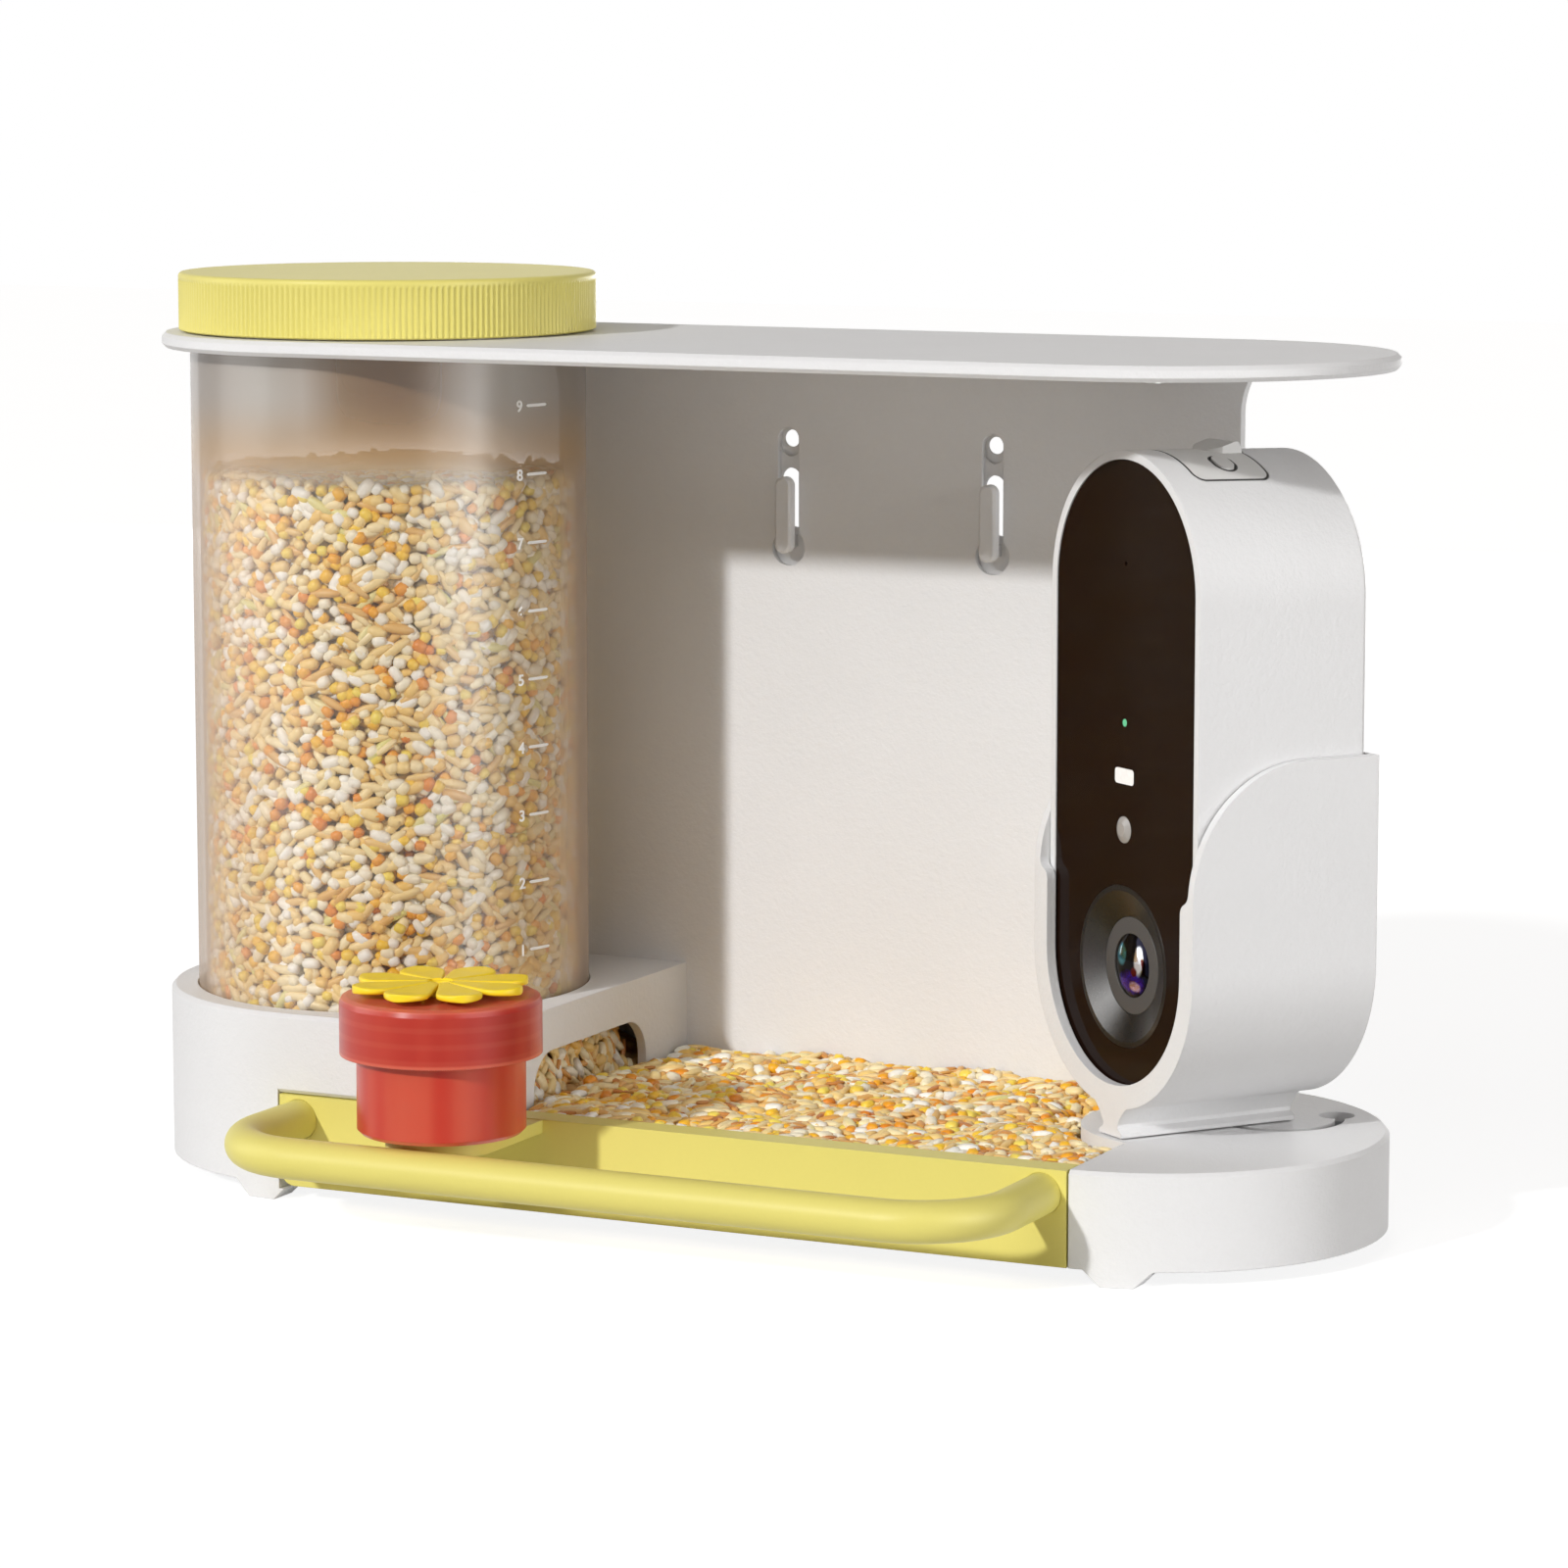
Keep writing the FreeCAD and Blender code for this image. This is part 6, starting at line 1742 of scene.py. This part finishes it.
@dataclass
class Camera:
    """The camera's domed lens."""

    mount: Mount = Mount()
    lens_z: float = 68.3 * MM
    ring_front: float = -42.0 * MM
    glass_radius: float = 7.6 * MM
    glass_edge: float = 0.5 * MM
    glass_back: float = 1.2 * MM
    dome: float = 1.5 * MM
    dome_share: float = 0.96
    centre: float = 0.06
    rings: int = 10
    columns: int = 64

    def placed(self, points: np.ndarray) -> np.ndarray:
        """Set a shape turned about Z on the lens axis: its height becomes depth along the camera's own Y,
        then the camera's turn and pivot set it in the frame.

        Args:
            points: points about the Z axis.

        Returns:
            The points in the frame.
        """
        across, up, depth = points.T
        angle = math.radians(self.mount.turn)
        c, s = math.cos(angle), math.sin(angle)
        x, y = self.mount.pivot
        return np.column_stack([x + across * c - depth * s, y + across * s + depth * c, self.lens_z + up])

    def build(self) -> None:
        """Build and dress the front glass: a spherical dome in front of a flat back."""
        finish = LensCoat("lens_coating", self.mount, self.lens_z, self.glass_radius).material()
        share = np.linspace(self.centre, 1.0, self.rings)
        bulge = self.dome * np.sqrt(1.0 - (share * self.dome_share) ** 2)
        curve = self.ring_front + self.glass_edge - bulge
        back = self.ring_front + self.glass_back
        profile = np.array([
            *zip(share * self.glass_radius, curve),
            (self.glass_radius, back),
            (self.glass_radius * 0.5, back),
        ])
        item = revolved(profile, self.columns).moved(self.placed).piece("lens_dome", finish)
        ride(item, "camera_mount", ["lens_glass"])


class Heading(Enum):
    """Which way a screw's head looks, as the number of the axis it lies along and of the axis across it."""

    BACK = (1, 2)
    DOWN = (2, 1)


@dataclass(frozen=True)
class ScrewSet:
    """Equal screws that one CAD node holds in a row along X, as the places between the two outer ones."""

    node: str
    name: str
    body: str
    heading: Heading
    between: tuple[float, ...] = ()
    single: bool = False

    def sizes(self) -> tuple[float, float]:
        """Sizes of one screw, from the node's box.

        Returns:
            Radius of the head and length from its top to the tip.
        """
        low, high = box_of(self.node)
        along, across = self.heading.value
        span = high - low
        return span[0 if self.single else across] / 2.0, span[along]

    def places(self, head: float) -> tuple[float, ...]:
        """Places of the screws along X.

        Args:
            head: radius of a head.

        Returns:
            One place for each screw.
        """
        low, high = box_of(self.node)
        if self.single:
            return (axis_of(self.node)[0],)
        return low[0] + head, *self.between, high[0] - head

    def placed(self, points: np.ndarray, x: float) -> np.ndarray:
        """Turn a screw from the Z axis to its heading and set it in its place.

        Args:
            points: points of a screw whose head's top lies at height zero.
            x: place along X.

        Returns:
            The points in the frame.
        """
        low, high = box_of(self.node)
        middle = (low + high) / 2.0
        side, across, depth = points.T
        if self.heading is Heading.BACK:
            return np.column_stack([side + x, high[1] + depth, middle[2] - across])
        return np.column_stack([side + x, middle[1] - across, low[2] - depth])


@dataclass
class Fixings:
    """Screws with a domed head, a cross recess and a thread."""

    head_thick: float = 1.6 * MM
    dome: float = 0.35 * MM
    recess: float = 1.0 * MM
    arm: float = 0.42 * MM
    arm_fade: float = 0.4
    reach: float = 1.7 * MM
    reach_fade: float = 0.3 * MM
    shank: float = 1.5 * MM
    pitch: float = 1.1 * MM
    bite: float = 0.25 * MM
    tip_share: float = 0.25
    centre: float = 0.04
    columns: int = 64
    face_rings: int = 22
    turn_rings: int = 8
    sets: tuple[ScrewSet, ...] = (
        ScrewSet("plate_screws", "plate_screw_set", "frame", Heading.BACK, (10.1 * MM,)),
        ScrewSet("roof_screws", "roof_screw_set", "frame", Heading.DOWN),
        ScrewSet("pivot_screw", "pivot_screw_slotted", "camera_mount", Heading.DOWN, single=True),
    )

    def head_depth(self, radius: np.ndarray, angle: np.ndarray, head: float) -> np.ndarray:
        """Depth of the head's surface: a low dome with two crossing slots that fade out at their ends.

        Args:
            radius: distance of each point from the axis.
            angle: direction of each point.
            head: radius of the head.

        Returns:
            The depth below the head's top.
        """
        near = np.abs(np.stack([radius * np.cos(angle), radius * np.sin(angle)])).min(0)
        slot = np.clip((self.arm - near) / (self.arm_fade * self.arm), 0.0, 1.0)
        slot = slot * np.clip((self.reach - radius) / self.reach_fade, 0.0, 1.0)
        return self.dome * (radius / head) ** 2 + slot * self.recess

    def screw(self, head: float, length: float) -> Surface:
        """A screw along Z with its head's top at zero and its tip below: the head is a grid over radius and
        angle, and the shank's radius follows a helix wave.

        Args:
            head: radius of the head.
            length: length from the head's top to the tip.

        Returns:
            The closed surface.
        """
        angle = around(self.columns)[None, :]
        share = np.linspace(self.centre, 1.0, self.face_rings)[:, None]
        face_r = np.repeat(share * head, self.columns, axis=1)
        face_z = -self.head_depth(face_r, angle, head)
        rows = int((length - self.head_thick) / self.pitch * self.turn_rings)
        level = np.linspace(-self.head_thick, -length, rows)[:, None]
        wave = np.abs(((level / self.pitch + angle / FULL_TURN) % 1.0) * 2.0 - 1.0)
        taper = np.clip((level + length) / (2.0 * self.shank), self.tip_share, 1.0)
        body_r = (self.shank - self.bite * wave) * taper
        body_z = np.repeat(level, self.columns, axis=1)
        rim_r = np.full((1, self.columns), head)
        rim_z = np.full((1, self.columns), -self.head_thick)
        reach = np.concatenate([face_r, rim_r, body_r])
        return capped(ringed(reach, np.concatenate([face_z, rim_z, body_z])))

    def build(self, steel: bpy.types.Material) -> None:
        """Build and dress the sets of screws.

        Args:
            steel: their finish.
        """
        for group in self.sets:
            head, length = group.sizes()
            one = self.screw(head, length)
            row = [one.moved(lambda points: group.placed(points, x)) for x in group.places(head)]
            ride(joined(row).piece(group.name, steel), group.body, [group.node])


def stand(item: bpy.types.Object, look: Vector, place: Place = (0.0, 0.0, 0.0)) -> None:
    """Put a camera or a light into the scene.

    Args:
        item: its object.
        look: direction it looks along.
        place: where it stands.
    """
    item.location = place
    item.rotation_euler = look.to_track_quat("-Z", "Y").to_euler()
    bpy.context.scene.collection.objects.link(item)


def downward(heading: tuple[float, float], angle: float) -> Vector:
    """Direction along a level heading, tipped down by an angle in degrees."""
    c, s = math.cos(math.radians(angle)), math.sin(math.radians(angle))
    return Vector((heading[0] * c, heading[1] * c, -s))


@dataclass(frozen=True)
class SoftBox:
    """A rectangular soft light aimed at the feeder, or a strip that only shows as gloss."""

    name: str
    place: Place
    width: float
    height: float
    power: float
    gloss_only: bool = False

    def build(self, aim: Vector) -> None:
        """Set up the light so that it faces the aim.

        Args:
            aim: the point that it faces.
        """
        light = bpy.data.lights.new(self.name, "AREA")
        light.shape = "RECTANGLE"
        light.size = self.width
        light.size_y = self.height
        light.energy = self.power
        item = bpy.data.objects.new(self.name, light)
        item.visible_camera = False
        item.visible_diffuse = not self.gloss_only
        stand(item, aim - Vector(self.place), self.place)


@dataclass
class Studio:
    """Floor, lights and the camera at the photograph's viewing angle."""

    eye: Place = (0.5826, -1.1715, 0.2899)
    heading: tuple[float, float] = (-0.434, 0.901)
    pitch: float = 7.951
    lens: float = 124.5
    sensor: float = 36.0
    far: float = 50.0
    sun_heading: tuple[float, float] = (0.295, 0.956)
    sun_height: float = 26.0
    sun_strength: float = 2.2
    sun_width: float = 2.8
    sky: float = 0.105
    sky_tint: Colour = (1.0, 0.82, 0.66)
    floor_size: float = 8.0
    floor: PaleFloor = PaleFloor("pale_floor", tone=0.8, shown_tone=0.32, glow=0.86)
    aim: Place = (0.0, 0.0, 0.12)
    boxes: tuple[SoftBox, ...] = (
        SoftBox("right_box", (3.2, -0.5, 0.55), 1.0, 1.3, 35.0),
        SoftBox("back_box", (-0.4, 1.7, 0.15), 1.4, 0.26, 9.0),
        SoftBox("front_box", (0.0, -1.3, 1.3), 1.0, 1.0, 6.0),
        SoftBox("left_strip", (-0.81, -0.35, 0.3), 0.55, 0.7, 3.8, gloss_only=True),
        SoftBox("right_strip", (0.74, -0.29, 0.3), 0.6, 0.7, 5.4, gloss_only=True),
    )

    def build(self) -> None:
        """Set up the stage."""
        self.build_camera()
        self.build_floor()
        self.build_world()
        self.build_lights()
        bpy.context.scene.view_settings.view_transform = "Standard"

    def build_camera(self) -> None:
        """Camera looking along its heading and down by its pitch."""
        data = bpy.data.cameras.new("view")
        data.sensor_width = self.sensor
        data.lens = self.lens
        data.clip_end = self.far
        item = bpy.data.objects.new("view", data)
        stand(item, downward(self.heading, self.pitch), self.eye)
        bpy.context.scene.camera = item

    def build_floor(self) -> None:
        """Square floor under the feeder."""
        half = self.floor_size / 2.0
        corners = np.array([(-half, -half, 0.0), (half, -half, 0.0), (half, half, 0.0), (-half, half, 0.0)])
        floor = Surface(corners, np.array([[0, 1, 2, 3]]), NO_TRIS).piece("floor", self.floor.material())

    def build_world(self) -> None:
        """White backdrop for what the camera sees, and an even soft sky for light."""
        world = bpy.data.worlds.new("studio")
        world.use_nodes = True
        bpy.context.scene.world = world
        paint = Paint(world.node_tree)
        light, shown = (
            paint.add("ShaderNodeBackground", None, {"Color": colour, "Strength": strength})
            for colour, strength in ((self.sky_tint, self.sky), (WHITE, 1.0)))
        paint.output(paint.blend(paint.seen(), light, shown), "ShaderNodeOutputWorld")

    def build_lights(self) -> None:
        """A key light from the left front, soft boxes and strips."""
        key = bpy.data.lights.new("key", "SUN")
        key.energy = self.sun_strength
        key.angle = math.radians(self.sun_width)
        stand(bpy.data.objects.new("key", key), downward(self.sun_heading, self.sun_height))
        for box in self.boxes:
            box.build(Vector(self.aim))


def slot_finishes() -> dict[str, Finish]:
    """The finish of each material slot of the record.

    Returns:
        Finishes by slot name.
    """
    rims = (box_of("cup")[0][2], box_of("cup_lid")[0][2])
    return {
        "white_plastic": Moulded("white_plastic", (0.755, 0.755, 0.76), 0.55, relief=0.13 * MM),
        "yellow_plastic": Moulded("yellow_plastic", (0.75, 0.67, 0.18), 0.4, 0.5 * MM, 0.008 * MM,
                                  specular=0.28),
        "flower_plastic": Moulded("flower_plastic", (1.0, 0.73, 0.02), 0.36, 0.5 * MM, 0.006 * MM,
                                  specular=0.3),
        "clear_plastic": FrostedTube("clear_plastic", box_of("hopper_seed")[1][2]),
        "red_plastic": Tinted("red_plastic", (0.54, 0.03, 0.012), (0.66, 0.11, 0.055), 0.95, rims),
        "seed": SeedBed("seed_block", ((0.0, (0.45, 0.26, 0.10)), (1.0, (0.80, 0.68, 0.46)))),
        "steel": Polished("plated_steel", (0.60, 0.60, 0.59), 0.26, metal=1.0, specular=0.5, brush=0.1),
        "soft_rubber": Moulded("grey_rubber", (0.42, 0.42, 0.41), 0.7, 0.4 * MM, 0.01 * MM),
        "white_rubber": Moulded("white_rubber", RUBBER_WHITE, 0.6, 0.5 * MM, 0.015 * MM, edge=0.25 * MM),
        "button_plastic": Moulded("button_plastic", (0.70, 0.695, 0.68), 0.45, 0.4 * MM, 0.008 * MM,
                                  edge=0.3 * MM),
        "dark_gloss": Polished("dark_gloss", (0.012, 0.005, 0.003), 0.09, specular=0.1),
        "black_plastic": Moulded("black_plastic", (0.012, 0.012, 0.013), 0.4, 0.4 * MM, 0.006 * MM,
                                 mottle=0.2),
        "lens_glass": Polished("lens_blank", (0.02, 0.02, 0.05), 0.04),
        "light_plastic": LampWindow("light_window", (0.88, 0.87, 0.85), 0.25),
        "board": BoardMask("board_lacquer", (0.02, 0.12, 0.05), (0.05, 0.20, 0.08)),
        "cell_wrap": Moulded("cell_wrap", (0.06, 0.14, 0.42), 0.3, 0.8 * MM, 0.004 * MM),
    }


def own_finishes() -> dict[str, Finish]:
    """Finishes of the few parts that differ from the rest of their slot.

    Returns:
        Finishes by node name.
    """
    lid = tuple(corner[2] for corner in box_of("cup_lid"))
    return {
        "status_light": LampWindow("status_lamp", (0.10, 0.42, 0.22), 0.6),
        "motion_sensor": Moulded("sensor_window", (0.36, 0.34, 0.32), 0.22, 0.5 * MM, 0.004 * MM),
        "lens_bezel": TurnedMetal("bezel_metal", Mount(), Camera.lens_z),
        "top_cover": PortCover("cover_rubber", Mount()),
        "cup_lid": Tinted("lid_plastic", (0.43, 0.018, 0.008), (0.55, 0.055, 0.028), 0.97, lid,
                          threaded=lid),
        "lens_ring": Moulded("lens_ring", (0.055, 0.053, 0.052), 0.35, 0.4 * MM, 0.004 * MM, mottle=0.15),
    }


def dress_nodes(palette: dict[str, bpy.types.Material]) -> None:
    """Give every CAD node the finish of its slot, and a few front parts one of their own.

    Args:
        palette: materials by slot name.
    """
    own = {node: finish.material() for node, finish in own_finishes().items()}
    for row in frame["record"]["subparts"]:
        dress(row["node"], own.get(row["node"], palette[row["material_slot"]]))


def main() -> None:
    """Build the feeder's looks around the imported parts, in order."""
    logging.basicConfig(level=logging.INFO, format="%(message)s")
    palette = {slot: finish.material() for slot, finish in slot_finishes().items()}
    dress_nodes(palette)
    ink = Moulded("scale_print", (0.95, 0.95, 0.94), 0.5, 0.3 * MM, 0.002 * MM, mottle=0.02, edge=0.02 * MM)
    SeedTube().build(palette["yellow_plastic"], ink.material())
    stock = SeedStock()
    for fill in (TubeFill(stock), TrayFill(stock), ArchFill(stock)):
        fill.build()
    NectarCup().build(palette["flower_plastic"], palette["red_plastic"])
    Camera().build()
    Fixings().build(palette["steel"])
    Studio().build()


if __name__ == "__main__":
    main()
